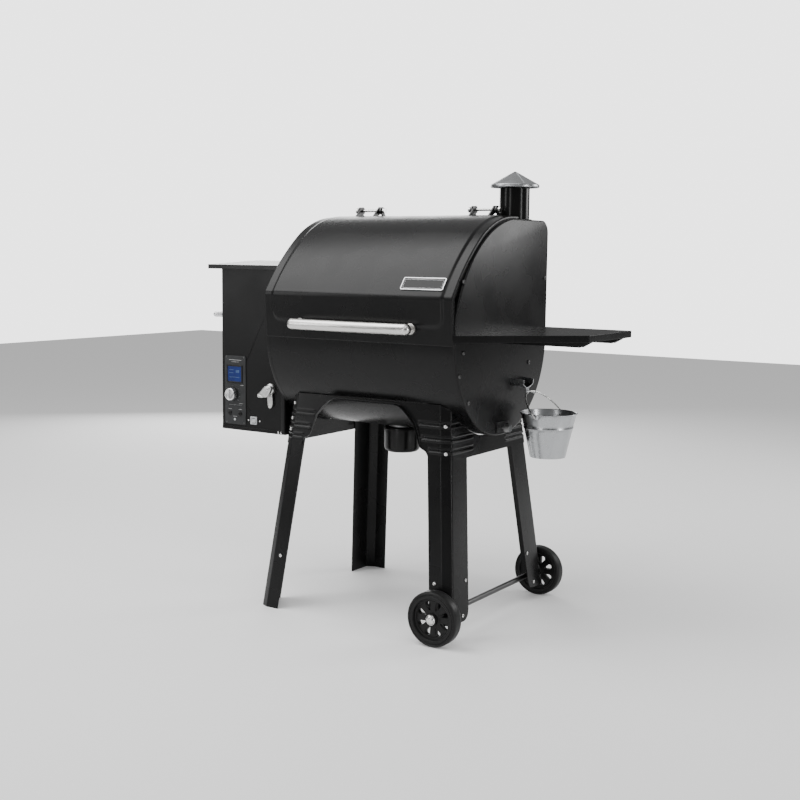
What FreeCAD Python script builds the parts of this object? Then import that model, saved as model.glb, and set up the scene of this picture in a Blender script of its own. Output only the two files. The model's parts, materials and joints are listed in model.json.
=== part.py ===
import FreeCAD, Part
import math
import os

# Pellet smoker grill. Millimetres, +Z up, +X to the right, -Y is the front.
# All sizes below are in the barrel frame: X = 0 at the middle of the barrel,
# Y = 0 at the middle of its depth and Z = 0 on the floor. Export moves every
# node by CENTRE_X, which puts the origin at the bottom centre of the whole.

V = FreeCAD.Vector

# ---- driving dimensions: barrel and lid ----
SHEET = 1.5
FAR = 400.0
CAP_X = 315.0
CAP_T = 2.0
SHELL_X = CAP_X - CAP_T
BARREL_R = 265.0
BARREL_Z = 797.0
BODY_TOP_Z = 1133.0
LIP_Z = 797.0
FOOT_Y = -267.0
LID_X = 311.0
LID_BOTTOM_Z = 794.0
LID_TOP_Z = 1141.0
LID_REAR_Y = 84.0
CREASE_Y = -277.0
CREASE_Z = 922.0
LID_FLANGE = 14.0
HANDLE_Z = 836.0
HANDLE_Y = -311.0
HANDLE_R = 15.5
HANDLE_HALF = 207.0
HANDLE_BOW = 4.0
POST_X = 183.0
POST_R = 8.0

# ---- driving dimensions: lid hinges ----
HINGE_X = 197.0
HINGE_HALF = 52.0
HINGE_Y = 92.0
HINGE_Z = 1161.0
HINGE_PIN_R = 4.0
RUN_GAP = 0.05
EYE_R = 11.0
EAR_T = 5.0

# ---- driving dimensions: chimney ----
CHIMNEY_X = 262.0
CHIMNEY_Y = 148.0
CHIMNEY_R = 43.0
CHIMNEY_TOP_Z = 1224.0
CONE_R = 70.0
CONE_Z = 1232.0
APEX_Z = 1270.0
STEM_R = 4.0

# ---- driving dimensions: hopper ----
HOP_X0 = -559.0
HOP_X1 = -CAP_X
HOP_Y0 = -177.0
HOP_Y1 = 45.0
HOP_Z0 = 494.5
HOP_Z1 = 990.0
HLID_X0 = -607.0
HLID_X1 = -318.0
HLID_Y0 = -185.0
HLID_Y1 = 48.0
HLID_Z0 = 982.0
HLID_FRONT_Z = 995.0
HLID_BACK_Z = 1007.0
HLID_PIN_Y = 56.0
HLID_PIN_Z = 990.0
GRAB_X = -607.0
GRAB_Z = 842.0
GRAB_R = 8.0
GRAB_Y0 = -150.0
GRAB_Y1 = 18.0

# ---- driving dimensions: controls on the hopper's front ----
PANEL = (-547.0, -465.0, 512.0, 721.0)
LCD = (-534.0, -482.0, 643.0, 688.0)
KNOB_X = -516.0
KNOB_Z = 604.0
KNOB_R = 21.0
KNOB_DEPTH = 17.0
KNOB_SHAFT_R = 3.0
BUTTON_X = -507.0
BUTTON_Z = 527.0
BUTTON_R = 3.5
SWITCH = (-446.0, -423.0, 517.5, 539.5)
OPENER_X = -378.0
OPENER_Z0 = 571.0
OPENER_Z1 = 646.0

# ---- driving dimensions: fire and feed ----
POT_X = -16.0
POT_R = 48.0
POT_Z0 = 549.0
POT_Z1 = 640.0
AUGER_Z = 585.0
AUGER_R = 28.0
AUGER_X0 = -492.0
AUGER_X1 = POT_X - 44.0
FLIGHT_R = 24.0
FLIGHT_PITCH = 40.0
SHAFT_R = 6.0
FAN_X = -395.0
FAN_Y0 = -150.0
FAN_Y1 = -85.0
FAN_Z = 552.0
FAN_R = 48.0
DUCT_PASS = (-131.0, -89.0, 574.0, 601.0)
CUP_R = 53.0
CUP_Z0 = 455.0
CUP_Z1 = 528.0
ROD_Z = 553.0
ROD_R = 4.0
GRATE_Z = 782.0
GRATE_HALF_X = 300.0
GRATE_HALF_Y = 225.0
RACK_Z = 930.0
RACK_HALF_X = 290.0
RACK_Y0 = 60.0
RACK_Y1 = 241.0
PROBE_Y = 20.0
PROBE_Z = 945.0

# ---- driving dimensions: base, legs and wheels ----
LEG_X = 327.9
LEG_Y = 282.5
LEAN_X = 0.102
LEAN_Y = 0.1195
LEG_T = 2.5
APRON_T = 2.0
CHAMFER_X = 26.0
CHAMFER_Y = 13.0
FLANGE_FRONT = 67.0
FLANGE_SIDE = 96.0
LEG_TOP_Z = 640.0
APRON_Z0 = 482.0
ARCH_TOP_Z = 616.0
WHEEL_X = 290.0
WHEEL_Y = 307.0
WHEEL_R = 75.0
WHEEL_HALF = 19.0
AXLE_R = 8.0
AXLE_END = 334.0
LEG_LIFT = 48.0

# ---- driving dimensions: side shelf, spout and bucket ----
SHELF_Z = 824.0
SHELF_DEPTH = 19.0
SHELF_X1 = 584.0
SHELF_FRONT_Y = -278.0
SHELF_CORNER_Y = -22.0
SHELF_BACK_Y = 264.0
SPOUT_Y = 100.0
SPOUT_WIDTH = 30.0
SPOUT_SLOPE = 7.0
SPOUT_LIPS = [(-30.0, 24), (-30.0, 10), (-10, 0), (10, 0), (30.0, 10), (30.0, 24)]
SPOUT_END_X = 344.0
HOOK_X1 = 366.0
HOOK_Z = 646.8
SPOUT_Z = 662.0
BUCKET_X = 411.0
BUCKET_Z = 591.0
BUCKET_R = 78.0
BUCKET_BASE_R = 50.0
BUCKET_H = 124.0
BAIL_R = 2.0
BAIL_PIN_R = 2.4
BAIL_LEAN = 43.0

CENTRE_X = -(SHELF_X1 + GRAB_X - GRAB_R) / 2.0

NODES = {}


# ---- helpers ----
def box(x0, x1, y0, y1, z0, z1):
    return Part.makeBox(x1 - x0, y1 - y0, z1 - z0, V(x0, y0, z0))


def rod(start, axis, radius, length):
    return Part.makeCylinder(radius, length, V(*start), V(*axis))


def pipe(start, axis, outer, inner, length):
    return rod(start, axis, outer, length).cut(rod(start, axis, inner, length))


def face_of(points, plane, at):
    """Closed flat polygon; plane names the two axes that the points use."""
    if plane == "yz":
        corners = [V(at, a, b) for a, b in points]
    elif plane == "xz":
        corners = [V(a, at, b) for a, b in points]
    else:
        corners = [V(a, b, at) for a, b in points]
    return Part.Face(Part.makePolygon(corners + corners[:1]))


def prism(points, plane, lo, hi):
    direction = {"yz": V(1, 0, 0), "xz": V(0, 1, 0), "xy": V(0, 0, 1)}[plane]
    return face_of(points, plane, lo).extrude(direction * (hi - lo))


def group(shapes):
    solids = []
    for shape in shapes:
        solids += shape.Solids
    return Part.makeCompound(solids)


def fuse(shapes):
    return shapes[0].multiFuse(list(shapes[1:])).removeSplitter()


def loft(points_lo, z_lo, points_hi, z_hi):
    wires = []
    for points, z in ((points_lo, z_lo), (points_hi, z_hi)):
        corners = [V(x, y, z) for x, y in points]
        wires.append(Part.makePolygon(corners + corners[:1]))
    return Part.makeLoft(wires, True, True)


def mirror_y(shape):
    return shape.mirror(V(0, 0, 0), V(0, 1, 0))


def mirror_x(shape):
    return shape.mirror(V(0, 0, 0), V(1, 0, 0))


def save(name, shape):
    NODES[name] = shape


# ---- outlines in the Y-Z plane ----
def line(a, b):
    return Part.LineSegment(V(0, *a), V(0, *b)).toShape()


def arc(a, b, c):
    return Part.Arc(V(0, *a), V(0, *b), V(0, *c)).toShape()


def body_outline():
    r = BARREL_R
    corner = 37.0
    bend = corner * (1 - math.cos(math.radians(45)))
    front = (-r, BARREL_Z)
    eave = (-r, 850.0)
    brow = (-143.0, 1052.0)
    crown = (40.0, BODY_TOP_Z)
    return Part.Wire([
        arc(front, (0.0, BARREL_Z - r), (r, BARREL_Z)),
        line((r, BARREL_Z), (r, BODY_TOP_Z - corner)),
        arc((r, BODY_TOP_Z - corner), (r - bend, BODY_TOP_Z - bend), (r - corner, BODY_TOP_Z)),
        line((r - corner, BODY_TOP_Z), crown),
        arc(crown, brow, eave),
        line(eave, front),
    ])


def lid_outline():
    foot = (FOOT_Y, LID_BOTTOM_Z)
    crease = (CREASE_Y, CREASE_Z)
    brow = (CREASE_Y + 5.0, CREASE_Z + 5.0)
    shoulder = (-113.0, 1091.0)
    crown = (50.0, LID_TOP_Z)
    return Part.Wire([
        line(foot, crease),
        line(crease, brow),
        arc(brow, (-204.0, 1012.0), shoulder),
        arc(shoulder, (-37.0, 1126.5), crown),
        line(crown, (LID_REAR_Y, LID_TOP_Z)),
        line((LID_REAR_Y, LID_TOP_Z), (LID_REAR_Y, LID_BOTTOM_Z)),
        line((LID_REAR_Y, LID_BOTTOM_Z), foot),
    ])


def extrude_x(wire_or_face, x0, x1):
    face = wire_or_face if wire_or_face.ShapeType == "Face" else Part.Face(wire_or_face)
    face.translate(V(x0, 0, 0))
    return face.extrude(V(x1 - x0, 0, 0))


def inset(outline, depth):
    return outline.makeOffset2D(-depth)


LID_SOLID = extrude_x(lid_outline(), -LID_X, LID_X)
BARREL_CLEAR = rod((-FAR, 0, BARREL_Z), (1, 0, 0), BARREL_R + 0.3, 800)


# ---- barrel ----
def make_barrel():
    outer = extrude_x(body_outline(), -SHELL_X, SHELL_X)
    inner = extrude_x(inset(body_outline(), SHEET), -SHELL_X, SHELL_X)
    shell = outer.cut(inner)
    shell = shell.cut(box(-FAR, FAR, -400, 50, LIP_Z, 1300))
    hem = box(-SHELL_X, SHELL_X, -BARREL_R + SHEET, -250, LIP_Z - 3, LIP_Z - SHEET)
    shell = fuse([shell, hem])
    rails = [box(-SHELL_X, SHELL_X, y0, y1, GRATE_Z - 2, GRATE_Z)
             for y0, y1 in ((-264, 4 - GRATE_HALF_Y), (GRATE_HALF_Y - 4, 264))]
    rails += [box(x0, x1, 60, BARREL_R - SHEET / 2, RACK_Z - 2, RACK_Z)
              for x0, x1 in ((-SHELL_X, -288), (288, SHELL_X))]
    shell = fuse([shell] + rails)
    shell = shell.cut(rod((CHIMNEY_X, CHIMNEY_Y, 1100), (0, 0, 1), CHIMNEY_R - 3, 60))
    shell = shell.cut(rod((POT_X, 0, 500), (0, 0, 1), 41, 60))
    save("barrel_shell", shell)
    for side, name in ((-1, "end_cap_left"), (1, "end_cap_right")):
        x0 = -CAP_X if side < 0 else SHELL_X
        cap = extrude_x(body_outline(), x0, x0 + CAP_T)
        if side < 0:
            cap = cap.cut(rod((-330, 0, AUGER_Z), (1, 0, 0), AUGER_R + 2, 40))
            cap = cap.cut(box(-330, -300, *DUCT_PASS))
        else:
            cap = cap.cut(rod((300, 0, ROD_Z), (1, 0, 0), ROD_R + 0.3, 40))
            cap = cap.cut(spout_envelope())
        save(name, cap)


def make_fasteners():
    heads = base_bolts() + hopper_screws() + wheel_nuts()
    for y, z in ((-226, 962), (246, 968), (-222, 776), (156, 726), (-240, 715), (-190, 640)):
        heads.append(rod((CAP_X, y, z), (1, 0, 0), 6, 4))
    for y, z in ((-240, 776), (-235, 705), (-226, 755)):
        heads.append(rod((-CAP_X - 4, y, z), (1, 0, 0), 5, 4))
    save("fasteners", group(heads))


# ---- lid ----
def make_lid():
    skin = LID_SOLID.cut(extrude_x(inset(lid_outline(), SHEET), -LID_X, LID_X))
    skin = skin.cut(box(-FAR, FAR, FOOT_Y + SHEET + 0.2, 90, LID_BOTTOM_Z - 1, LID_BOTTOM_Z + SHEET + 0.1))
    skin = skin.cut(box(-FAR, FAR, LID_REAR_Y - SHEET - 0.1, 90, LID_BOTTOM_Z - 1, LID_TOP_Z - SHEET))
    parts = [skin]
    for x0 in (-LID_X, LID_X - SHEET):
        flange = extrude_x(lid_outline(), x0, x0 + SHEET)
        flange = flange.cut(extrude_x(inset(lid_outline(), LID_FLANGE), x0, x0 + SHEET))
        low_edge = LID_BOTTOM_Z + LID_FLANGE + 1
        flange = flange.cut(box(-FAR, FAR, FOOT_Y + SHEET + 0.2, 90, LID_BOTTOM_Z - 1, low_edge))
        flange = flange.cut(box(-FAR, FAR, 44, 90, 700, BODY_TOP_Z + 1))
        flange = flange.cut(box(-FAR, FAR, LID_REAR_Y - LID_FLANGE - 1, 90, 700, LID_TOP_Z - LID_FLANGE))
        parts.append(flange)
    save("lid_shell", fuse(parts))


def make_lid_handle():
    bow_r = HANDLE_HALF ** 2 / (2 * HANDLE_BOW)
    half_turn = math.degrees(math.asin(HANDLE_HALF / bow_r))
    centre = V(0, HANDLE_Y - HANDLE_BOW / 2 + bow_r, HANDLE_Z)
    ring = Part.Circle(V(0, HANDLE_Y - HANDLE_BOW / 2, HANDLE_Z), V(1, 0, 0), HANDLE_R)
    section = Part.Face(Part.Wire([ring.toShape()]))
    bar = section.revolve(centre, V(0, 0, 1), half_turn)
    bar = fuse([bar, section.revolve(centre, V(0, 0, 1), -half_turn)])
    save("lid_handle_bar", bar)
    posts = []
    for x in (-POST_X, POST_X):
        post = rod((x, HANDLE_Y, HANDLE_Z), (0, 1, 0), POST_R, 60)
        washer = rod((x, -276.5, HANDLE_Z), (0, 1, 0), POST_R + 7, 20)
        posts.append(biggest(fuse([post, washer]).cut(LID_SOLID).cut(bar)))
    save("lid_handle_posts", group(posts))


def biggest(shape):
    return max(shape.Solids, key=lambda s: s.Volume)


def make_nameplate():
    x0, x1, z0, z1 = 146.0, 292.0, 936.0, 968.0
    outline = lid_outline()
    outer = extrude_x(outline.makeOffset2D(2.0), x0, x1)
    plate = outer.cut(LID_SOLID).common(box(x0, x1, -330, -150, z0, z1))
    save("lid_nameplate", biggest(plate))


# ---- lid hinges ----
def ear(x, y_foot0, y_foot1, z_foot, thickness):
    eye = rod((x, HINGE_Y, HINGE_Z), (1, 0, 0), EYE_R, thickness)
    web = prism([(y_foot0, z_foot), (y_foot1, z_foot), (HINGE_Y + EYE_R * 0.8, HINGE_Z - 6),
                 (HINGE_Y - EYE_R * 0.8, HINGE_Z + 6)], "yz", x, x + thickness)
    return fuse([eye, web])


def make_hinges():
    fixed = []
    moving = []
    pins = []
    hole_r = HINGE_PIN_R + RUN_GAP
    for cx in (-HINGE_X, HINGE_X):
        plate = box(cx - 46, cx + 46, 97, 130, BODY_TOP_Z, BODY_TOP_Z + 3)
        ears = [ear(cx + s, 97, 120, BODY_TOP_Z + 3, EAR_T) for s in (-42, 37)]
        bracket = fuse([plate] + ears)
        bracket = bracket.cut(rod((CHIMNEY_X, CHIMNEY_Y, BODY_TOP_Z - 1), (0, 0, 1), CHIMNEY_R + 8, 5))
        bracket = bracket.cut(rod((CHIMNEY_X, CHIMNEY_Y, BODY_TOP_Z), (0, 0, 1), CHIMNEY_R + 1, 60))
        fixed.append(bracket.cut(rod((cx - 60, HINGE_Y, HINGE_Z), (1, 0, 0), hole_r, 120)))
        plate = box(cx - 46, cx + 46, 48, 80, LID_TOP_Z, LID_TOP_Z + 3)
        ears = [ear(cx + s, 56, 79, LID_TOP_Z + 3, EAR_T) for s in (-34, 29)]
        bracket = fuse([plate] + ears)
        moving.append(bracket.cut(rod((cx - 60, HINGE_Y, HINGE_Z), (1, 0, 0), HINGE_PIN_R, 120)))
        shaft = rod((cx - 48, HINGE_Y, HINGE_Z), (1, 0, 0), HINGE_PIN_R, 96)
        ends = [rod((cx + s, HINGE_Y, HINGE_Z), (1, 0, 0), 8, 6) for s in (-HINGE_HALF, HINGE_HALF - 6)]
        pins.append(fuse([shaft] + ends))
    save("hinge_body_brackets", group(fixed))
    save("hinge_lid_brackets", group(moving))
    save("hinge_pins", group(pins))


# ---- chimney ----
def make_chimney():
    x, y = CHIMNEY_X, CHIMNEY_Y
    tube = pipe((x, y, BODY_TOP_Z), (0, 0, 1), CHIMNEY_R, CHIMNEY_R - SHEET, CHIMNEY_TOP_Z - BODY_TOP_Z)
    foot = pipe((x, y, BODY_TOP_Z), (0, 0, 1), CHIMNEY_R + 7, CHIMNEY_R - SHEET, 2)
    strap = box(x - 60, x + 60, y - 9, y + 9, 1196, 1199)
    strap = strap.common(rod((x, y, 1190), (0, 0, 1), CHIMNEY_R - SHEET / 2, 20))
    tube = fuse([tube, foot, strap])
    save("chimney_tube", tube.cut(rod((x, y, 1190), (0, 0, 1), STEM_R + RUN_GAP, 20)))
    rim = V(CONE_R, 0, CONE_Z - 8)
    inner_rim = V(CONE_R - SHEET, 0, CONE_Z - 8)
    profile = [rim, V(CONE_R, 0, CONE_Z), V(2.5, 0, APEX_Z), V(0, 0, APEX_Z), V(0, 0, APEX_Z - 2),
               V(CONE_R - SHEET, 0, CONE_Z - 1), inner_rim]
    cone = Part.Face(Part.makePolygon(profile + [rim])).revolve(V(0, 0, 0), V(0, 0, 1), 360)
    cone.translate(V(x, y, 0))
    stem = rod((x, y, 1165), (0, 0, 1), STEM_R, APEX_Z - 1.5 - 1165)
    save("chimney_cap", fuse([cone, stem]))


# ---- hopper ----
def make_hopper():
    outer = box(HOP_X0, HOP_X1, HOP_Y0, HOP_Y1, HOP_Z0, HOP_Z1)
    inner = box(HOP_X0 + SHEET, HOP_X1 - SHEET, HOP_Y0 + SHEET, HOP_Y1 - SHEET, HOP_Z0 + SHEET, 1100)
    body = outer.cut(inner)
    body = body.cut(rod((-330, 0, AUGER_Z), (1, 0, 0), AUGER_R + 2, 40))
    body = body.cut(box(-330, -300, *DUCT_PASS))
    body = body.cut(rod((KNOB_X, HOP_Y0 - 5, KNOB_Z), (0, 1, 0), KNOB_SHAFT_R + 2, 10))
    body = body.cut(box(SWITCH[0] + 4, SWITCH[1] - 4, -190, -170, SWITCH[2] + 4, SWITCH[3] - 4))
    body = body.cut(box(-480, -420, 30, 60, 625, 680))
    body = body.cut(rod((BUTTON_X, HOP_Y0 - 5, BUTTON_Z), (0, 1, 0), BUTTON_R + 1, 10))
    rails = [body]
    for x0, x1, lip0, lip1 in ((-491, -485.5, -491, -481), (-414.5, -409, -419, -409)):
        rails.append(box(x0, x1, HOP_Y1, HOP_Y1 + 3, 615, 750))
        rails.append(box(lip0, lip1, HOP_Y1 + 3, HOP_Y1 + 5, 615, 750))
    save("hopper_body", fuse(rails))
    t = SHEET
    outside = [(HLID_Y0, HLID_Z0), (HLID_Y0, HLID_FRONT_Z), (HLID_Y1, HLID_BACK_Z), (HLID_Y1, HLID_Z0)]
    inside = [(HLID_Y0 + t, HLID_Z0 - 1), (HLID_Y0 + t, HLID_FRONT_Z - t), (HLID_Y1 - t, HLID_BACK_Z - t),
              (HLID_Y1 - t, HLID_Z0 - 1)]
    top = prism(outside, "yz", HLID_X0, HLID_X1)
    hollow = prism(inside, "yz", HLID_X0 + t, HLID_X1 + 1)
    barrel = []
    for x in (-540, -380):
        knuckle = rod((x, HLID_PIN_Y, HLID_PIN_Z), (1, 0, 0), 6, 40)
        web = box(x, x + 40, HLID_Y1, HLID_PIN_Y, HLID_PIN_Z, HLID_PIN_Z + 6)
        barrel.append(fuse([knuckle, web]))
    rear_lip = box(HLID_X0 - 1, HLID_X1 + 1, HLID_Y1 - t - 0.1, HLID_Y1 + 1, HLID_Z0 - 1, HLID_PIN_Z + 1.5)
    top = top.cut(hollow).cut(rear_lip)
    lid = fuse([top] + barrel)
    lid = lid.cut(rod((-600, HLID_PIN_Y, HLID_PIN_Z), (1, 0, 0), 3 + RUN_GAP, 300))
    save("hopper_lid", lid)
    pins = []
    for x in (-540, -380):
        pins.append(rod((x - 20, HLID_PIN_Y, HLID_PIN_Z), (1, 0, 0), 3, 80))
        for ear_x in (x - 14, x + 41):
            outline = [(HOP_Y1, 956), (HLID_PIN_Y, 956), (HLID_PIN_Y + 7, 975), (HLID_PIN_Y + 7, HLID_PIN_Z),
                       (HLID_PIN_Y - 7, HLID_PIN_Z), (HLID_PIN_Y - 7, 979), (HOP_Y1, 979)]
            leaf = prism(outline, "yz", ear_x, ear_x + 13)
            pins += [leaf, rod((ear_x, HLID_PIN_Y, HLID_PIN_Z), (1, 0, 0), 7, 13)]
    save("hopper_lid_hinges", fuse(pins))


def make_hopper_fittings():
    bar = rod((GRAB_X, GRAB_Y0, GRAB_Z), (0, 1, 0), GRAB_R, GRAB_Y1 - GRAB_Y0)
    pieces = [bar]
    for y in (GRAB_Y0, GRAB_Y1):
        pieces.append(rod((GRAB_X, y, GRAB_Z), (1, 0, 0), GRAB_R, HOP_X0 - GRAB_X))
        pieces.append(Part.makeSphere(GRAB_R, V(GRAB_X, y, GRAB_Z)))
        pieces.append(rod((HOP_X0 - 4, y, GRAB_Z), (1, 0, 0), GRAB_R + 5, 4))
    save("hopper_grab_bar", fuse(pieces))
    t = SHEET
    x0, x1 = HOP_X0 + t, HOP_X1 - t
    y0, y1 = HOP_Y0 + t, HOP_Y1 - t
    top = [(x0, y0), (x1, y0), (x1, y1), (x0, y1)]
    top_in = [(x0 + t, y0 + t), (x1 - t, y0 + t), (x1 - t, y1 - t), (x0 + t, y1 - t)]
    low = [(-482, -26), (-398, -26), (-398, 26), (-482, 26)]
    low_in = [(-480, -24), (-400, -24), (-400, 24), (-480, 24)]
    z_low = AUGER_Z + AUGER_R + 2
    funnel = loft(low, z_low, top, 860).cut(loft(low_in, z_low - 0.01, top_in, 860.01))
    save("hopper_funnel", funnel)
    gate = box(-485, -415, HOP_Y1 + 0.5, HOP_Y1 + 2.5, 620, 690)
    tab = box(-460, -440, HOP_Y1 + 2.5, HOP_Y1 + 14, 682, 685)
    save("hopper_gate", fuse([gate, tab]))
    inlet = box(-400, -352, HOP_Y1, HOP_Y1 + 12, 520, 552)
    inlet = inlet.cut(box(-390, -362, HOP_Y1 + 4, HOP_Y1 + 13, 526, 546))
    save("power_inlet", inlet)


def make_controls():
    y0 = HOP_Y0
    x0, x1, z0, z1 = PANEL
    plate = box(x0, x1, y0 - 2, y0, z0, z1)
    plate = plate.cut(rod((KNOB_X, y0 - 5, KNOB_Z), (0, 1, 0), KNOB_SHAFT_R + RUN_GAP, 10))
    plate = plate.cut(rod((BUTTON_X, y0 - 5, BUTTON_Z), (0, 1, 0), BUTTON_R + RUN_GAP, 10))
    save("control_panel", plate)
    save("lcd_window", box(LCD[0], LCD[1], y0 - 3.5, y0 - 2, LCD[2], LCD[3]))
    knob = rod((KNOB_X, y0 - 2.5 - KNOB_DEPTH, KNOB_Z), (0, 1, 0), KNOB_R, KNOB_DEPTH)
    grip = box(KNOB_X - 4, KNOB_X + 4, y0 - 7.5 - KNOB_DEPTH, y0 - 2.5 - KNOB_DEPTH,
               KNOB_Z - 18, KNOB_Z + 18)
    shaft = rod((KNOB_X, y0 - 2.5, KNOB_Z), (0, 1, 0), KNOB_SHAFT_R, 12)
    save("control_knob", fuse([knob, grip, shaft]))
    button = rod((BUTTON_X, y0 - 4.5, BUTTON_Z), (0, 1, 0), BUTTON_R, 9)
    save("menu_button", button)
    jacks = []
    for x in (-527, -487):
        jacks.append(pipe((x, y0 - 6, 545), (0, 1, 0), 5, 1.8, 4))
    save("probe_jacks", group(jacks))
    x0, x1, z0, z1 = SWITCH
    bezel = box(x0, x1, y0 - 3, y0, z0, z1)
    bezel = bezel.cut(box(x0 + 4, x1 - 4, y0 - 4, y0 + 1, z0 + 4, z1 - 4))
    save("power_switch_bezel", bezel)
    zc = (z0 + z1) / 2.0
    rocker = prism([(y0 - 5, z0 + 5), (y0 - 3, zc), (y0 - 1.5, z1 - 5), (y0 + 5, z1 - 7), (y0 + 5, z0 + 7)],
                   "yz", x0 + 4.6, x1 - 4.6)
    pivot = rod((x0 + 4.2, y0 + 1.5, zc), (1, 0, 0), 1.5, x1 - x0 - 8.4)
    save("power_rocker", fuse([rocker, pivot]))


def hopper_screws():
    y0 = HOP_Y0
    screws = []
    for x, z in ((-456, 528), (-412, 528), (-540, 716), (-472, 716), (-540, 517), (-472, 517)):
        base = y0 if x > -460 else y0 - 2
        screws.append(rod((x, base - 1.5, z), (0, 1, 0), 2.5, 1.5))
    for x, z in ((-330, 500), (-341, 500), (-323, 800), (-323, 720)):
        screws.append(rod((x, y0 - 2, z), (0, 1, 0), 3.5, 2))
    return screws


def make_bottle_opener():
    y0 = HOP_Y0
    x, lo, hi = OPENER_X, OPENER_Z0, OPENER_Z1
    top = rod((x + 9, y0 - 7, hi - 17), (0, 1, 0), 17, 7)
    strap = [(x - 8, hi - 9), (x + 22, hi - 9), (x + 20, lo + 48), (x + 8, lo + 38), (x + 4, lo + 33),
             (x - 26, lo + 32), (x - 27, lo + 43)]
    jaw = prism(strap, "xz", y0 - 20, y0 - 3)
    jaw = jaw.cut(box(x - 60, x - 6, y0 - 14, y0, lo, hi - 20))
    taper = [(x - 2, lo + 42), (x + 19, lo + 42), (x + 21, lo + 12), (x + 12, lo), (x + 4, lo + 3),
             (x + 1, lo + 18)]
    tail = prism(taper, "xz", y0 - 8, y0)
    save("bottle_opener", fuse([top, jaw, tail]))


# ---- fire and feed ----
def make_feed():
    tube = pipe((AUGER_X0, 0, AUGER_Z), (1, 0, 0), AUGER_R, AUGER_R - SHEET, AUGER_X1 - AUGER_X0)
    tube = tube.cut(box(-480, -400, -24, 24, AUGER_Z, AUGER_Z + 40))
    save("auger_tube", tube)
    length = AUGER_X1 - AUGER_X0 - 10
    shaft = rod((AUGER_X0 - 8, 0, AUGER_Z), (1, 0, 0), SHAFT_R, length + 8)
    tilt = math.degrees(math.atan(FLIGHT_PITCH / 4.0 / FLIGHT_R))
    disc = rod((-1.0, 0, 0), (1, 0, 0), FLIGHT_R - 0.5, 2.0)
    front = disc.common(box(-5, 5, -30, 0, -30, 30))
    back = disc.common(box(-5, 5, 0, 30, -30, 30))
    pieces = [shaft]
    count = int((length - 20) / FLIGHT_PITCH)
    for turn in range(count):
        x = AUGER_X0 + 22 + turn * FLIGHT_PITCH
        for half, angle, step in ((front, tilt, 0.0), (back, -tilt, FLIGHT_PITCH / 2.0)):
            flight = half.copy()
            flight.rotate(V(0, 0, 0), V(0, 1, 0), angle)
            flight.translate(V(x + step, 0, AUGER_Z))
            pieces.append(flight)
    save("auger_screw", fuse(pieces))
    motor = box(-553, -500, -32, 32, AUGER_Z - 32, AUGER_Z + 32)
    motor = motor.cut(rod((-512, 0, AUGER_Z), (1, 0, 0), SHAFT_R + RUN_GAP, 30))
    save("auger_motor", motor)


def make_blower():
    shell = rod((FAN_X, FAN_Y0, FAN_Z), (0, 1, 0), FAN_R, FAN_Y1 - FAN_Y0)
    duct = box(FAN_X, HOP_X1 + 20, -128, -92, 577, 599)
    inner = rod((FAN_X, FAN_Y0 + 2, FAN_Z), (0, 1, 0), FAN_R - 2, FAN_Y1 - FAN_Y0 - 4)
    duct_in = box(FAN_X + 20, HOP_X1 + 30, -126, -94, 579, 597)
    can = rod((FAN_X, FAN_Y0 - 22, FAN_Z), (0, 1, 0), 22, 23)
    shell = fuse([shell, duct, can]).cut(inner).cut(duct_in)
    shell = shell.cut(rod((FAN_X, FAN_Y1 - 5, FAN_Z), (0, 1, 0), 26, 10))
    shell = shell.cut(rod((FAN_X, FAN_Y0 - 16, FAN_Z), (0, 1, 0), 3 + RUN_GAP, 20))
    save("blower_housing", shell)
    hub = rod((FAN_X, FAN_Y0 + 8, FAN_Z), (0, 1, 0), 38, 2.5)
    boss = rod((FAN_X, FAN_Y0 - 15, FAN_Z), (0, 1, 0), 3, 40)
    pieces = [hub, boss]
    for i in range(12):
        blade = box(28, 37, FAN_Y0 + 10, FAN_Y1 - 8, -0.8, 0.8)
        blade.rotate(V(32, 0, 0), V(0, 1, 0), 25)
        blade.rotate(V(0, 0, 0), V(0, 1, 0), i * 30)
        blade.translate(V(FAN_X, 0, FAN_Z))
        pieces.append(blade)
    save("fan_impeller", fuse(pieces))


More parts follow.
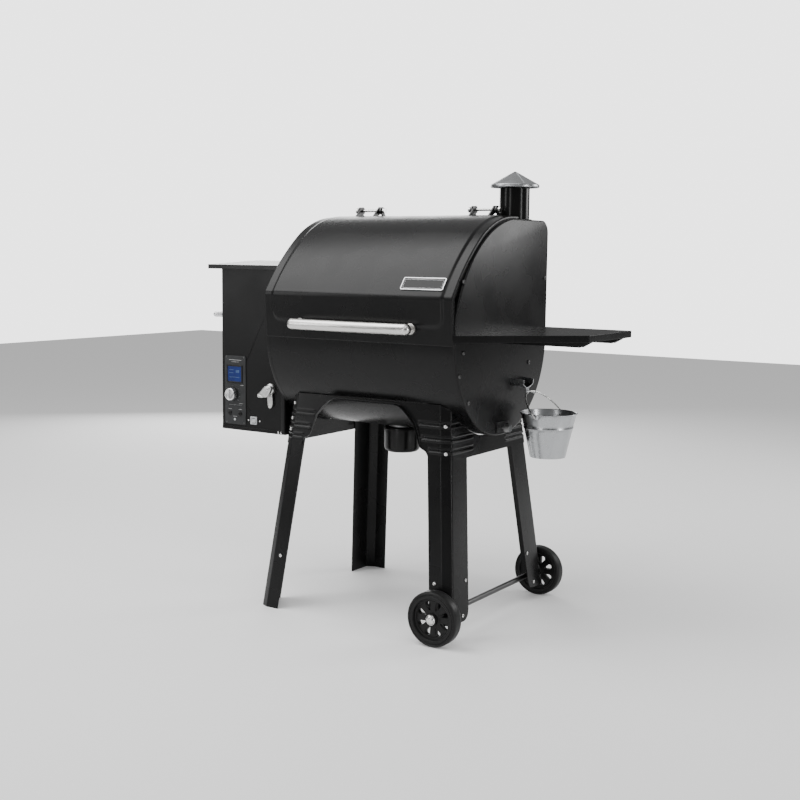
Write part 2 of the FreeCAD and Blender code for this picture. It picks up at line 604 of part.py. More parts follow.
def make_fire():
    pot = pipe((POT_X, 0, POT_Z0), (0, 0, 1), POT_R, POT_R - 3, POT_Z1 - POT_Z0)
    flange = pipe((POT_X, 0, POT_Z1 - 3), (0, 0, 1), POT_R + 14, POT_R - 3, 3)
    pot = fuse([pot, flange])
    pot = pot.cut(rod((AUGER_X1 - 20, 0, AUGER_Z), (1, 0, 0), AUGER_R + 0.2, 45))
    pot = pot.cut(rod((POT_X, 20, 568), (0, 1, 0), 5.2, 40))
    for angle in range(30, 360, 60):
        hole = rod((0, 0, 600), (1, 0, 0), 4, 60)
        hole.rotate(V(0, 0, 0), V(0, 0, 1), angle)
        hole.translate(V(POT_X, 0, 0))
        pot = pot.cut(hole)
    save("fire_pot", pot)
    save("igniter_rod", rod((POT_X, 30, 568), (0, 1, 0), 5, 70))
    chute = pipe((POT_X, 0, CUP_Z1 + 1), (0, 0, 1), 40, 38, 16)
    flange = pipe((POT_X, 0, 542), (0, 0, 1), 55, 38, 3)
    save("ash_chute", fuse([chute, flange]))
    plate = box(POT_X - 50, POT_X + 52, -36, 36, 546, 548)
    turn_up = box(POT_X + 50, POT_X + 52, -12, 12, 546, ROD_Z + 8)
    pull = rod((POT_X + 51, 0, ROD_Z), (1, 0, 0), ROD_R, 292)
    knob = rod((POT_X + 343, 0, ROD_Z), (1, 0, 0), 11, 16)
    save("ash_slide", fuse([plate, turn_up, pull, knob]))
    bracket = box(CAP_X, CAP_X + 3, -30, 36, 541, 570)
    bracket = bracket.cut(rod((300, 0, ROD_Z), (1, 0, 0), ROD_R + 0.3, 40))
    bolts = [rod((CAP_X + 3, y, 558), (1, 0, 0), 5, 4) for y in (-21, 27)]
    save("ash_pull_bracket", fuse([bracket] + bolts))
    cup = rod((POT_X, 0, CUP_Z0), (0, 0, 1), CUP_R, CUP_Z1 - CUP_Z0)
    hollow = rod((POT_X, 0, CUP_Z0 + SHEET), (0, 0, 1), CUP_R - SHEET, 100)
    save("ash_cup", cup.makeFillet(5, [cup.Edges[2]]).cut(hollow))


def make_cookbox():
    baffle = prism([(-150, 690), (0, 712), (150, 690), (150, 692), (0, 714), (-150, 692)], "yz", -190, 160)
    feet = [box(x, x + 3, y, y + 14, 576, 691.8) for x in (-180, 147) for y in (-140, 126)]
    save("heat_baffle", fuse([baffle] + feet))
    tilt = 1.4
    tray = box(-296, 296, -215, 215, 728, 730)
    rim = box(-296, 296, -215, 215, 730, 742).cut(box(-294, 294, -213, 213, 729, 743))
    drain = box(280, 292, SPOUT_Y - 20, SPOUT_Y + 20, 720, 735)
    tray = fuse([tray, rim]).cut(drain)
    tray.rotate(V(0, 0, 735), V(0, 1, 0), tilt)
    save("grease_tray", tray)
    bars = []
    for y in (-GRATE_HALF_Y, GRATE_HALF_Y - 6):
        bars.append(box(-GRATE_HALF_X, GRATE_HALF_X, y, y + 6, GRATE_Z, GRATE_Z + 8))
    for y in (-110, 0, 104):
        bars.append(box(-GRATE_HALF_X, GRATE_HALF_X, y, y + 6, GRATE_Z, GRATE_Z + 4))
    pitch = (2 * GRATE_HALF_X - 5) / 30.0
    for i in range(31):
        x = -GRATE_HALF_X + i * pitch
        bars.append(box(x, x + 5, -GRATE_HALF_Y + 6, GRATE_HALF_Y - 6, GRATE_Z + 4, GRATE_Z + 8))
    save("cooking_grate", fuse(bars))
    bars = []
    for y in (RACK_Y0, RACK_Y1 - 5):
        bars.append(box(-RACK_HALF_X, RACK_HALF_X, y, y + 5, RACK_Z, RACK_Z + 6))
    for i in range(21):
        x = -RACK_HALF_X + i * (2 * RACK_HALF_X - 4) / 20.0
        bars.append(box(x, x + 4, RACK_Y0 + 5, RACK_Y1 - 5, RACK_Z + 2, RACK_Z + 6))
    save("warming_rack", fuse(bars))
    probe = rod((-SHELL_X, PROBE_Y, PROBE_Z), (1, 0, 0), 3, 70)
    flange = rod((-SHELL_X, PROBE_Y, PROBE_Z), (1, 0, 0), 10, 3)
    save("temperature_probe", fuse([probe, flange]))


def spout_prism(section, x0, x1):
    piece = prism([(SPOUT_Y + a, SPOUT_Z + b) for a, b in section], "yz", x0, x1)
    piece.rotate(V(CAP_X, SPOUT_Y, SPOUT_Z), V(0, 1, 0), SPOUT_SLOPE)
    return piece


def spout_envelope():
    return spout_prism(SPOUT_LIPS, 300, 330)


def make_spout():
    w = SPOUT_WIDTH - 2
    inside = [(w, 24), (w, 11), (9, 2), (-9, 2), (-w, 11), (-w, 24)]
    trough = spout_prism(SPOUT_LIPS + inside, 250, SPOUT_END_X)
    y0, y1 = SPOUT_Y - 9, SPOUT_Y + 9
    hook = [box(SPOUT_END_X - 3.5, SPOUT_END_X - 1, y0, y1, HOOK_Z - 2.5, SPOUT_Z - 2.5),
            box(SPOUT_END_X - 3.5, HOOK_X1, y0, y1, HOOK_Z - 2.5, HOOK_Z),
            box(HOOK_X1 - 2, HOOK_X1, y0, y1, HOOK_Z - 2.5, HOOK_Z + 3)]
    save("grease_spout", fuse([trough] + hook))


# ---- bucket ----
def make_bucket():
    x, y, z, h = BUCKET_X, SPOUT_Y, BUCKET_Z, BUCKET_H
    r0, r1, t = BUCKET_BASE_R, BUCKET_R, 1.2
    profile = [(0, z - h + 4), (r0 - 3, z - h + 4), (r0 - 3, z - h), (r0, z - h), (r1, z), (r1 + 2.5, z),
               (r1 + 2.5, z + 3), (r1 - t, z + 3), (r0 - t, z - h + 4 + t), (0, z - h + 4 + t)]
    corners = [V(a, 0, b) for a, b in profile]
    pail = Part.Face(Part.makePolygon(corners + corners[:1])).revolve(V(0, 0, 0), V(0, 0, 1), 360)
    pail.translate(V(x, y, 0))
    ears = []
    for side in (-1, 1):
        y_ear = y + side * (r1 + 2.5)
        lo, hi = sorted((y_ear - side * 2.5, y_ear + side * 2.8))
        plate = box(x - 9, x + 9, lo, hi, z - 12, z + 3)
        plate = plate.cut(Part.makeCone(r0, r1, h, V(x, y, z - h), V(0, 0, 1)))
        ears.append(plate)
    pail = fuse([pail] + ears)
    hole = rod((x, y - 120, z - 5), (0, 1, 0), BAIL_PIN_R + RUN_GAP, 240)
    save("grease_bucket", pail.cut(hole))
    pivot = V(x, y, z - 5)
    half = BUCKET_R + 8.5
    ring = Part.Circle(V(x, y - half, z - 5), V(0, 0, 1), BAIL_R).toShape()
    hoop = Part.Face(Part.Wire([ring])).revolve(pivot, V(-1, 0, 0), 180)
    pieces = [hoop]
    for side in (-1, 1):
        start = (x, y + side * (half + BAIL_PIN_R), z - 5)
        pieces.append(rod(start, (0, -side, 0), BAIL_PIN_R, half + BAIL_PIN_R - BUCKET_R + 0.5))
    bail = fuse(pieces)
    bail.rotate(pivot, V(0, 1, 0), -BAIL_LEAN)
    save("bucket_bail", bail)


# ---- base ----
def corner_at(z):
    return LEG_X - LEAN_X * z, LEG_Y - LEAN_Y * z


def leg_section(z):
    cx, cy = corner_at(z)
    t = LEG_T
    turn = math.atan2(CHAMFER_Y, CHAMFER_X)
    k_front = math.tan(turn / 2)
    k_side = math.tan((math.pi / 2 - turn) / 2)
    return [
        (cx - FLANGE_FRONT, -cy), (cx - CHAMFER_X, -cy), (cx, -cy + CHAMFER_Y), (cx, -cy + FLANGE_SIDE),
        (cx - t, -cy + FLANGE_SIDE), (cx - t, -cy + CHAMFER_Y + t * k_side),
        (cx - CHAMFER_X - t * k_front, -cy + t), (cx - FLANGE_FRONT, -cy + t),
    ]


def make_leg(z0):
    leg = loft(leg_section(z0), z0, leg_section(LEG_TOP_Z), LEG_TOP_Z)
    return leg.cut(BARREL_CLEAR)


def make_legs():
    long_leg = make_leg(0.0)
    short_leg = make_leg(LEG_LIFT)
    short_leg = short_leg.cut(rod((WHEEL_X, -400, WHEEL_R), (0, 1, 0), AXLE_R + 0.1, 400))
    toe = 26.0
    cx, cy = corner_at(LEG_LIFT)
    wedge = prism([(-cy + FLANGE_SIDE + 1, LEG_LIFT - 1), (-cy + FLANGE_SIDE + 1, LEG_LIFT + toe),
                   (-cy + FLANGE_SIDE - toe, LEG_LIFT - 1)], "yz", cx - 8, cx + 8)
    short_leg = short_leg.cut(wedge)
    save("leg_front_right", short_leg)
    save("leg_rear_right", mirror_y(short_leg))
    save("leg_front_left", mirror_x(long_leg))
    save("leg_rear_left", mirror_x(mirror_y(long_leg)))


def apron_section(z):
    cx, cy = corner_at(z)
    t = APRON_T
    g = 0.05
    inner = [(-cx - g, -cy + CHAMFER_Y), (-cx + CHAMFER_X, -cy - g), (cx - CHAMFER_X, -cy - g),
             (cx + g, -cy + CHAMFER_Y)]
    turn = math.atan2(CHAMFER_Y, CHAMFER_X)
    k = t * math.tan(turn / 2)
    outer = [(cx + t, -cy + CHAMFER_Y), (cx - CHAMFER_X + k, -cy - t), (-cx + CHAMFER_X - k, -cy - t),
             (-cx - t, -cy + CHAMFER_Y)]
    return inner + outer


def arch_cutter():
    half_bottom = 200.0
    right = [(100, ARCH_TOP_Z + 8), (130, ARCH_TOP_Z - 4), (165, 575), (185, 515), (half_bottom, 508),
             (half_bottom + 20, 470)]
    left = [(-x, z) for x, z in reversed(right)]
    return prism(left + right, "xz", -FAR, FAR)


def make_aprons():
    front = loft(apron_section(APRON_Z0), APRON_Z0, apron_section(LEG_TOP_Z), LEG_TOP_Z)
    front = front.cut(arch_cutter()).cut(BARREL_CLEAR)
    save("front_apron", front)
    save("rear_apron", mirror_y(front))
    sections = []
    for z in (APRON_Z0, LEG_TOP_Z):
        cx, cy = corner_at(z)
        y = cy - CHAMFER_Y - 0.2
        sections.append([(cx + 0.05, -y), (cx + 0.05, y), (cx + APRON_T, y), (cx + APRON_T, -y)])
    side = loft(sections[0], APRON_Z0, sections[1], LEG_TOP_Z)
    side = side.cut(rod((-FAR, 0, BARREL_Z), (1, 0, 0), BARREL_R + 1.5, 800))
    save("right_apron", side)
    save("left_apron", mirror_x(side))


def base_bolts():
    """Bolts on the apron corners, on both flanges of each leg and on the wheel legs' toes."""
    heads = []
    nx, ny = CHAMFER_Y, -CHAMFER_X
    for sx, heights in ((-1, (600.0, 556.0, 524.0)), (1, (574.0, 501.0))):
        for z in heights:
            cx, cy = corner_at(z)
            for sy in (-1, 1):
                x = sx * (cx - CHAMFER_X / 2 + 1.2)
                y = sy * (cy - CHAMFER_Y / 2 + 2.1)
                heads.append(rod((x, y, z), (sx * nx, -sy * ny, 0), 4.5, 3.5))
    z = 155.0
    cx, cy = corner_at(z)
    for sx in (-1, 1):
        for sy in (-1, 1):
            heads.append(rod((sx * (cx - 49), sy * (cy + 0.6), z), (0, sy, 0), 4.5, 3.0))
            heads.append(rod((sx * (cx + 0.5), sy * (cy - 82), z), (sx, 0, 0), 4.5, 3.0))
    z = 64.0
    cx, cy = corner_at(z)
    for sy in (-1, 1):
        heads.append(rod((cx + 0.5, sy * (cy - 64), z), (1, 0, 0), 4.5, 3.0))
    return heads


def make_wheels():
    save("wheel_axle", rod((WHEEL_X, -AXLE_END + 4, WHEEL_R), (0, 1, 0), AXLE_R, 2 * AXLE_END - 8))
    for side, name in ((-1, "wheel_front"), (1, "wheel_rear")):
        y0 = side * WHEEL_Y - WHEEL_HALF
        tyre = rod((WHEEL_X, y0, WHEEL_R), (0, 1, 0), WHEEL_R, 2 * WHEEL_HALF)
        tyre = tyre.makeFillet(6, [e for e in tyre.Edges if e.Curve.TypeId == "Part::GeomCircle"])
        for y in (y0 - 1, y0 + 2 * WHEEL_HALF - 11):
            tyre = tyre.cut(rod((WHEEL_X, y, WHEEL_R), (0, 1, 0), 55, 12))
        for i in range(8):
            y1 = y0 + 2 * WHEEL_HALF
            slot = box(WHEEL_X - 7, WHEEL_X + 7, y0 - 1, y1 + 1, WHEEL_R + 24, WHEEL_R + 46)
            slot.rotate(V(WHEEL_X, 0, WHEEL_R), V(0, 1, 0), i * 45.0)
            tyre = tyre.cut(slot)
        hub = rod((WHEEL_X, y0 + 1, WHEEL_R), (0, 1, 0), 16, 2 * WHEEL_HALF - 2)
        wheel = fuse([tyre, hub])
        save(name, wheel.cut(rod((WHEEL_X, -400, WHEEL_R), (0, 1, 0), AXLE_R + RUN_GAP, 800)))


def wheel_nuts():
    caps = []
    for side in (-1, 1):
        lo, hi = sorted((side * (WHEEL_Y + WHEEL_HALF + 0.6), side * AXLE_END))
        cap = rod((WHEEL_X, lo, WHEEL_R), (0, 1, 0), 13, hi - lo)
        caps.append(cap.cut(rod((WHEEL_X, -AXLE_END + 4, WHEEL_R), (0, 1, 0), AXLE_R, 2 * AXLE_END - 8)))
    return caps


def make_shelf():
    outline = [(CAP_X, SHELF_FRONT_Y), (SHELF_X1, SHELF_CORNER_Y), (SHELF_X1, SHELF_BACK_Y),
               (CAP_X, SHELF_BACK_Y)]
    t = SHEET
    inner = [(CAP_X + t, SHELF_FRONT_Y + 3 * t), (SHELF_X1 - t, SHELF_CORNER_Y + t),
             (SHELF_X1 - t, SHELF_BACK_Y - t), (CAP_X + t, SHELF_BACK_Y - t)]
    tray = prism(outline, "xy", SHELF_Z - SHELF_DEPTH, SHELF_Z)
    tray = tray.cut(prism(inner, "xy", SHELF_Z - SHELF_DEPTH - 1, SHELF_Z - t))
    save("side_shelf", tray)
    arms = []
    for y in (-16.0, 196.0):
        arm = prism([(CAP_X + t, SHELF_Z - 34), (SHELF_X1 - 30, SHELF_Z - 34), (SHELF_X1 - 4, SHELF_Z - 20),
                     (SHELF_X1 - 4, SHELF_Z - t), (CAP_X + t, SHELF_Z - t)], "xz", y, y + 24)
        hollow = box(CAP_X, SHELF_X1 - 6, y + 2, y + 22, SHELF_Z - 40, SHELF_Z - 4)
        arms.append(arm.cut(hollow))
    save("shelf_arms", group(arms))


def build():
    make_barrel()
    make_fasteners()
    make_lid()
    make_lid_handle()
    make_nameplate()
    make_hinges()
    make_chimney()
    make_hopper()
    make_hopper_fittings()
    make_controls()
    make_bottle_opener()
    make_feed()
    make_blower()
    make_fire()
    make_cookbox()
    make_spout()
    make_bucket()
    make_legs()
    make_aprons()
    make_wheels()
    make_shelf()


build()
os.makedirs("parts", exist_ok=True)
for node, shape in sorted(NODES.items()):
    placed = shape.copy()
    placed.translate(V(CENTRE_X, 0, 0))
    placed.exportStep("parts/" + node + ".step")
    bad = [s for s in placed.Solids if not s.isValid()]
    print(node, len(placed.Solids), "solids", "INVALID" if bad or not placed.Solids else "")
print(len(NODES), "nodes")
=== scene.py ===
"""Pellet smoker grill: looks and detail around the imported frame. Metres, row frame."""

import json
import math

import bmesh
import bpy
from mathutils import Matrix, Vector


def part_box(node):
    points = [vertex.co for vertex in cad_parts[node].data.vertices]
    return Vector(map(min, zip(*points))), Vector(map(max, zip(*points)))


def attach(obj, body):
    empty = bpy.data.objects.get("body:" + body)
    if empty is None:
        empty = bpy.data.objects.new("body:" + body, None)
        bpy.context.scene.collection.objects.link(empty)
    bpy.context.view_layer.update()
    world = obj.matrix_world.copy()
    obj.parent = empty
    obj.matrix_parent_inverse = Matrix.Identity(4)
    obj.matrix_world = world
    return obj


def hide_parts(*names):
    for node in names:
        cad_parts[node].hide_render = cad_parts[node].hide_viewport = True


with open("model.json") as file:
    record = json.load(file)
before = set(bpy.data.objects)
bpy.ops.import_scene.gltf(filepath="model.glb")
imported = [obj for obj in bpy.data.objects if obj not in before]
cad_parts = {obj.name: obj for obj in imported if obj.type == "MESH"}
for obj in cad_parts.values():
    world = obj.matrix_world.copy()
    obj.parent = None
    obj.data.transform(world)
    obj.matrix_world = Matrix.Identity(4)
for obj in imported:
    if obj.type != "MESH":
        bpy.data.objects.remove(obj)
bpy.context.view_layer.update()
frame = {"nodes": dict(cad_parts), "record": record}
NODES = frame["nodes"]
MM = 0.001


# ---------------------------------------------------------------- camera
def make_camera():
    """Eye level, from the front right; angles in degrees, place in metres."""
    yaw, pitch, roll = (math.radians(a) for a in (33.02, 6.91, 0.65))
    ahead = Vector((-math.sin(yaw) * math.cos(pitch), math.cos(yaw) * math.cos(pitch), -math.sin(pitch)))
    right = ahead.cross(Vector((0, 0, 1))).normalized()
    up = right.cross(ahead)
    right, up = (math.cos(roll) * right + math.sin(roll) * up, math.cos(roll) * up - math.sin(roll) * right)
    data = bpy.data.cameras.new("camera")
    data.sensor_width = 36.0
    data.lens = 54.5
    data.clip_end = 60.0
    camera = bpy.data.objects.new("camera", data)
    turn = Matrix((right, up, -ahead)).transposed().to_4x4()
    camera.matrix_world = Matrix.Translation((1.922, -2.9724, 1.0346)) @ turn
    bpy.context.scene.collection.objects.link(camera)
    bpy.context.scene.camera = camera


# ---------------------------------------------------------------- materials
def shader_of(name, color, roughness, metallic=0.0, **sockets):
    mat = bpy.data.materials.new(name)
    mat.use_nodes = True
    shader = mat.node_tree.nodes["Principled BSDF"]
    shader.inputs["Base Color"].default_value = (*color, 1.0)
    shader.inputs["Roughness"].default_value = roughness
    shader.inputs["Specular IOR Level"].default_value = 0.5 if metallic else 0.18
    shader.inputs["Metallic"].default_value = metallic
    for socket, value in sockets.items():
        shader.inputs[socket.replace("_", " ")].default_value = value
    return mat, mat.node_tree, shader


def coords(tree, stretch=(1, 1, 1)):
    place = tree.nodes.new("ShaderNodeTexCoord")
    scale = tree.nodes.new("ShaderNodeMapping")
    scale.inputs["Scale"].default_value = stretch
    tree.links.new(place.outputs["Object"], scale.inputs["Vector"])
    return scale.outputs["Vector"]


def noise(tree, vector, scale, detail=3.0, rough=0.5):
    node = tree.nodes.new("ShaderNodeTexNoise")
    node.inputs["Scale"].default_value = scale
    node.inputs["Detail"].default_value = detail
    node.inputs["Roughness"].default_value = rough
    tree.links.new(vector, node.inputs["Vector"])
    return node.outputs["Fac"]


def ramp(tree, value, low, high, lo_at=0.35, hi_at=0.65):
    """Maps a 0-1 value to a float between low and high."""
    node = tree.nodes.new("ShaderNodeMapRange")
    node.inputs["From Min"].default_value = lo_at
    node.inputs["From Max"].default_value = hi_at
    node.inputs["To Min"].default_value = low
    node.inputs["To Max"].default_value = high
    tree.links.new(value, node.inputs["Value"])
    return node.outputs["Result"]


def tint(tree, value, dark, light, lo_at=0.3, hi_at=0.7):
    node = tree.nodes.new("ShaderNodeValToRGB")
    node.color_ramp.elements[0].position = lo_at
    node.color_ramp.elements[0].color = (*dark, 1.0)
    node.color_ramp.elements[1].position = hi_at
    node.color_ramp.elements[1].color = (*light, 1.0)
    tree.links.new(value, node.inputs["Fac"])
    return node.outputs["Color"]


def bump(tree, shader, height, strength, distance):
    node = tree.nodes.new("ShaderNodeBump")
    node.inputs["Strength"].default_value = strength
    node.inputs["Distance"].default_value = distance
    tree.links.new(height, node.inputs["Height"])
    tree.links.new(node.outputs["Normal"], shader.inputs["Normal"])


def powder_coat(name, color, roughness, peel=0.10):
    """Sprayed and baked coat: fine orange peel, faint cloudy sheen, dust in the matte areas."""
    mat, tree, shader = shader_of(name, color, roughness)
    at = coords(tree)
    cloud = noise(tree, at, 5.0, 4.0)
    lift = [c * 1.35 + 0.001 for c in color]
    tree.links.new(tint(tree, cloud, color, lift), shader.inputs["Base Color"])
    grain = noise(tree, at, 9.0, 2.0)
    tree.links.new(ramp(tree, grain, roughness - 0.02, roughness + 0.03), shader.inputs["Roughness"])
    bump(tree, shader, noise(tree, at, 520.0, 2.0), peel, 0.0004)
    return mat


def brushed(name, color, roughness, stretch):
    """Brushed steel: fine scratches along the long way of the stretch."""
    mat, tree, shader = shader_of(name, color, roughness, 1.0)
    at = coords(tree, stretch)
    lines = noise(tree, at, 260.0, 4.0, 0.7)
    tree.links.new(tint(tree, lines, [c * 0.82 for c in color], color), shader.inputs["Base Color"])
    tree.links.new(ramp(tree, lines, roughness - 0.06, roughness + 0.1), shader.inputs["Roughness"])
    bump(tree, shader, lines, 0.12, 0.0003)
    return mat


def galvanised(name, color, roughness):
    """Hot-dip zinc: spangle cells with their own tone over cloudy streaks."""
    mat, tree, shader = shader_of(name, color, roughness, 1.0)
    at = coords(tree)
    cells = tree.nodes.new("ShaderNodeTexVoronoi")
    cells.inputs["Scale"].default_value = 90.0
    tree.links.new(at, cells.inputs["Vector"])
    tone = tree.nodes.new("ShaderNodeSeparateColor")
    tree.links.new(cells.outputs["Color"], tone.inputs["Color"])
    streak = noise(tree, coords(tree, (1, 1, 0.25)), 30.0, 4.0)
    both = tree.nodes.new("ShaderNodeMath")
    both.operation = "MULTIPLY_ADD"
    both.inputs[1].default_value = 0.16
    tree.links.new(tone.outputs["Red"], both.inputs[0])
    tree.links.new(streak, both.inputs[2])
    dark = [c * 0.84 for c in color]
    tree.links.new(tint(tree, both.outputs["Value"], dark, color, 0.35, 0.95), shader.inputs["Base Color"])
    tree.links.new(ramp(tree, both.outputs["Value"], roughness - 0.06, roughness + 0.1, 0.4, 0.9),
                   shader.inputs["Roughness"])
    bump(tree, shader, streak, 0.08, 0.0006)
    return mat


def plain_metal(name, color, roughness, pit=0.15):
    mat, tree, shader = shader_of(name, color, roughness, 1.0)
    at = coords(tree)
    spots = noise(tree, at, 180.0, 4.0)
    tree.links.new(tint(tree, spots, [c * 0.75 for c in color], color), shader.inputs["Base Color"])
    tree.links.new(ramp(tree, spots, roughness - 0.05, roughness + 0.12), shader.inputs["Roughness"])
    bump(tree, shader, spots, pit, 0.0004)
    return mat


def moulded(name, color, roughness, grain=0.1):
    mat, tree, shader = shader_of(name, color, roughness)
    at = coords(tree)
    cloud = noise(tree, at, 40.0, 3.0)
    tree.links.new(tint(tree, cloud, [c * 0.85 for c in color], [c * 1.12 for c in color]),
                   shader.inputs["Base Color"])
    tree.links.new(ramp(tree, cloud, roughness - 0.04, roughness + 0.06), shader.inputs["Roughness"])
    bump(tree, shader, noise(tree, at, 900.0, 2.0), grain, 0.0003)
    return mat


def display_blue(name):
    mat, tree, shader = shader_of(name, (0.004, 0.014, 0.085), 0.12, 0.0, Coat_Weight=0.5)
    cloud = noise(tree, coords(tree), 25.0, 2.0)
    tree.links.new(tint(tree, cloud, (0.003, 0.010, 0.065), (0.006, 0.018, 0.11)), shader.inputs["Base Color"])
    # Painted glow: a faint blue emission lifts the dark glass to navy; nothing behind the glass is lit.
    shader.inputs["Emission Color"].default_value = (0.02, 0.08, 0.5, 1.0)
    shader.inputs["Emission Strength"].default_value = 0.07
    return mat


MATERIALS = {
    "black_enamel": powder_coat("black_enamel", (0.0042, 0.0042, 0.0043), 0.27, 0.003),
    "black_matte_metal": powder_coat("black_matte_metal", (0.0036, 0.0036, 0.0037), 0.33, 0.008),
    "black_gloss": powder_coat("black_gloss", (0.005, 0.005, 0.005), 0.2, 0.008),
    "stainless": brushed("stainless", (0.68, 0.67, 0.65), 0.28, (0.03, 1, 1)),
    "galvanised": galvanised("galvanised", (0.45, 0.46, 0.47), 0.3),
    "zinc_hardware": plain_metal("zinc_hardware", (0.78, 0.78, 0.77), 0.22, 0.05),
    "dark_hardware": plain_metal("dark_hardware", (0.11, 0.11, 0.11), 0.36),
    "panel_grey": moulded("panel_grey", (0.03, 0.031, 0.032), 0.42),
    "switch_grey": moulded("switch_grey", (0.42, 0.43, 0.44), 0.4),
    "ink_white": moulded("ink_white", (0.4, 0.4, 0.4), 0.5, 0.02),
    "lcd_blue": display_blue("lcd_blue"),
    "display_mark": moulded("display_mark", (0.05, 0.09, 0.2), 0.3, 0.02),
    "black_plastic": moulded("black_plastic", (0.012, 0.012, 0.012), 0.35),
    "knob_silver": brushed("knob_silver", (0.74, 0.74, 0.75), 0.27, (1, 0.05, 1)),
    "raw_steel": plain_metal("raw_steel", (0.33, 0.33, 0.33), 0.42),
    "wheel_black": moulded("wheel_black", (0.012, 0.012, 0.012), 0.42, 0.2),
    "nameplate": brushed("nameplate", (0.62, 0.62, 0.63), 0.25, (0.05, 1, 1)),
    "cast_silver": plain_metal("cast_silver", (0.62, 0.62, 0.61), 0.33, 0.3),
    "porcelain": powder_coat("porcelain", (0.011, 0.011, 0.011), 0.25, 0.05),
}


# ---------------------------------------------------------------- mesh helpers
def linked(name, data):
    obj = bpy.data.objects.new(name, data)
    bpy.context.scene.collection.objects.link(obj)
    return obj


def add_mesh(name, verts, faces, smooth=True):
    mesh = bpy.data.meshes.new(name)
    mesh.from_pydata([tuple(v) for v in verts], [], faces)
    mesh.validate()
    for polygon in mesh.polygons:
        polygon.use_smooth = smooth
    return linked(name, mesh)


def edit_mesh(obj, *steps):
    """Runs each step on the object's bmesh and writes it back."""
    bm = bmesh.new()
    bm.from_mesh(obj.data)
    for step in steps:
        step(bm)
    bm.to_mesh(obj.data)
    bm.free()
    return obj


def face_outward(bm):
    bmesh.ops.recalc_face_normals(bm, faces=bm.faces)


def mesh_of_curve(name, curve):
    """Turns a curve into a mesh and drops the curve's holder."""
    holder = bpy.data.objects.new(name, curve)
    mesh = bpy.data.meshes.new_from_object(holder)
    bpy.data.objects.remove(holder)
    return mesh


def thicken(obj, millimetres):
    """Gives a pressed face its sheet thickness, inwards."""
    sheet = obj.modifiers.new("sheet", "SOLIDIFY")
    sheet.thickness = millimetres * MM
    sheet.offset = -1.0


def grid_faces(rows, width, base=0, flipped=False):
    """Quads of a grid of vertices laid row after row."""
    faces = []
    for r in range(rows - 1):
        for c in range(width - 1):
            a = base + r * width + c
            quad = (a, a + 1, a + width + 1, a + width)
            faces.append(quad[::-1] if flipped else quad)
    return faces


def ring_faces(rings, count):
    """Quads between closed rings of count vertices; rings lists the pairs of ring numbers."""
    faces = []
    for low, high in rings:
        for k in range(count):
            n = (k + 1) % count
            faces.append((low * count + k, low * count + n, high * count + n, high * count + k))
    return faces


def smooth_by_angle(obj, angle=35.0):
    for polygon in obj.data.polygons:
        polygon.use_smooth = True

    def mark(bm):
        for edge in bm.edges:
            edge.smooth = len(edge.link_faces) == 2 and edge.calc_face_angle(0.0) < math.radians(angle)

    return edit_mesh(obj, mark)


def finish_piece(obj, material, body="root", replaced=()):
    obj.data.materials.clear()
    obj.data.materials.append(MATERIALS[material])
    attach(obj, body)
    if replaced:
        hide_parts(*replaced)
    return obj


def frame_along(direction):
    """Turns +Z to the given direction."""
    return Vector(direction).to_track_quat("Z", "Y").to_matrix().to_4x4()


def lathe(name, profile, at, direction=(0, 0, 1), steps=64):
    """Closed turned piece: profile is (radius, height) from the axis and back to it."""
    turn = Matrix.Translation(at) @ frame_along(direction)
    verts, faces, rings = [], [], []
    for radius, height in profile:
        if radius < 1e-7:
            rings.append([len(verts)])
            verts.append(turn @ Vector((0, 0, height)))
            continue
        rings.append(list(range(len(verts), len(verts) + steps)))
        for k in range(steps):
            angle = 2 * math.pi * k / steps
            verts.append(turn @ Vector((radius * math.cos(angle), radius * math.sin(angle), height)))
    pairs = list(zip(rings, rings[1:]))
    if profile[0][0] > 1e-7:
        pairs.append((rings[-1], rings[0]))
    for low, high in pairs:
        for k in range(steps):
            n = (k + 1) % steps
            if len(low) == 1 and len(high) == 1:
                continue
            if len(low) == 1:
                faces.append((low[0], high[n], high[k]))
            elif len(high) == 1:
                faces.append((low[k], low[n], high[0]))
            else:
                faces.append((low[k], low[n], high[n], high[k]))
    return smooth_by_angle(edit_mesh(add_mesh(name, verts, faces), face_outward), 40.0)


def sweep(name, points, radius, closed=False, sides=12):
    """Round bar along a list of points."""
    curve = bpy.data.curves.new(name + "_path", "CURVE")
    curve.dimensions = "3D"
    curve.bevel_depth = radius
    curve.bevel_resolution = sides // 4
    curve.use_fill_caps = not closed
    spline = curve.splines.new("POLY")
    spline.points.add(len(points) - 1)
    for point, co in zip(spline.points, points):
        point.co = (*co, 1.0)
    spline.use_cyclic_u = closed
    mesh = mesh_of_curve(name + "_path", curve)
    for polygon in mesh.polygons:
        polygon.use_smooth = True
    return linked(name, mesh)


def slab(name, lo, hi, round_by, segments=3):
    """Block with rounded edges."""
    bm = bmesh.new()
    bmesh.ops.create_cube(bm, size=1.0)
    size = Vector(hi) - Vector(lo)
    middle = (Vector(hi) + Vector(lo)) / 2
    for vert in bm.verts:
        vert.co = Vector(c * s for c, s in zip(vert.co, size)) + middle
    bmesh.ops.bevel(bm, geom=bm.edges[:], offset=round_by, segments=segments, profile=0.5, affect="EDGES")
    face_outward(bm)
    mesh = bpy.data.meshes.new(name)
    bm.to_mesh(mesh)
    bm.free()
    return smooth_by_angle(linked(name, mesh), 40.0)


def join(objects, name):
    bm = bmesh.new()
    for obj in objects:
        obj.data.transform(obj.matrix_world)
        bm.from_mesh(obj.data)
        old = obj.data
        bpy.data.objects.remove(obj)
        bpy.data.meshes.remove(old)
    mesh = bpy.data.meshes.new(name)
    bm.to_mesh(mesh)
    bm.free()
    return linked(name, mesh)


# ---------------------------------------------------------------- shared places
SHIFT = sum(corner.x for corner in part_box("lid_shell")) / 2  # the barrel's middle in the row frame
AXLE_X, AXLE_Z = 290, 75


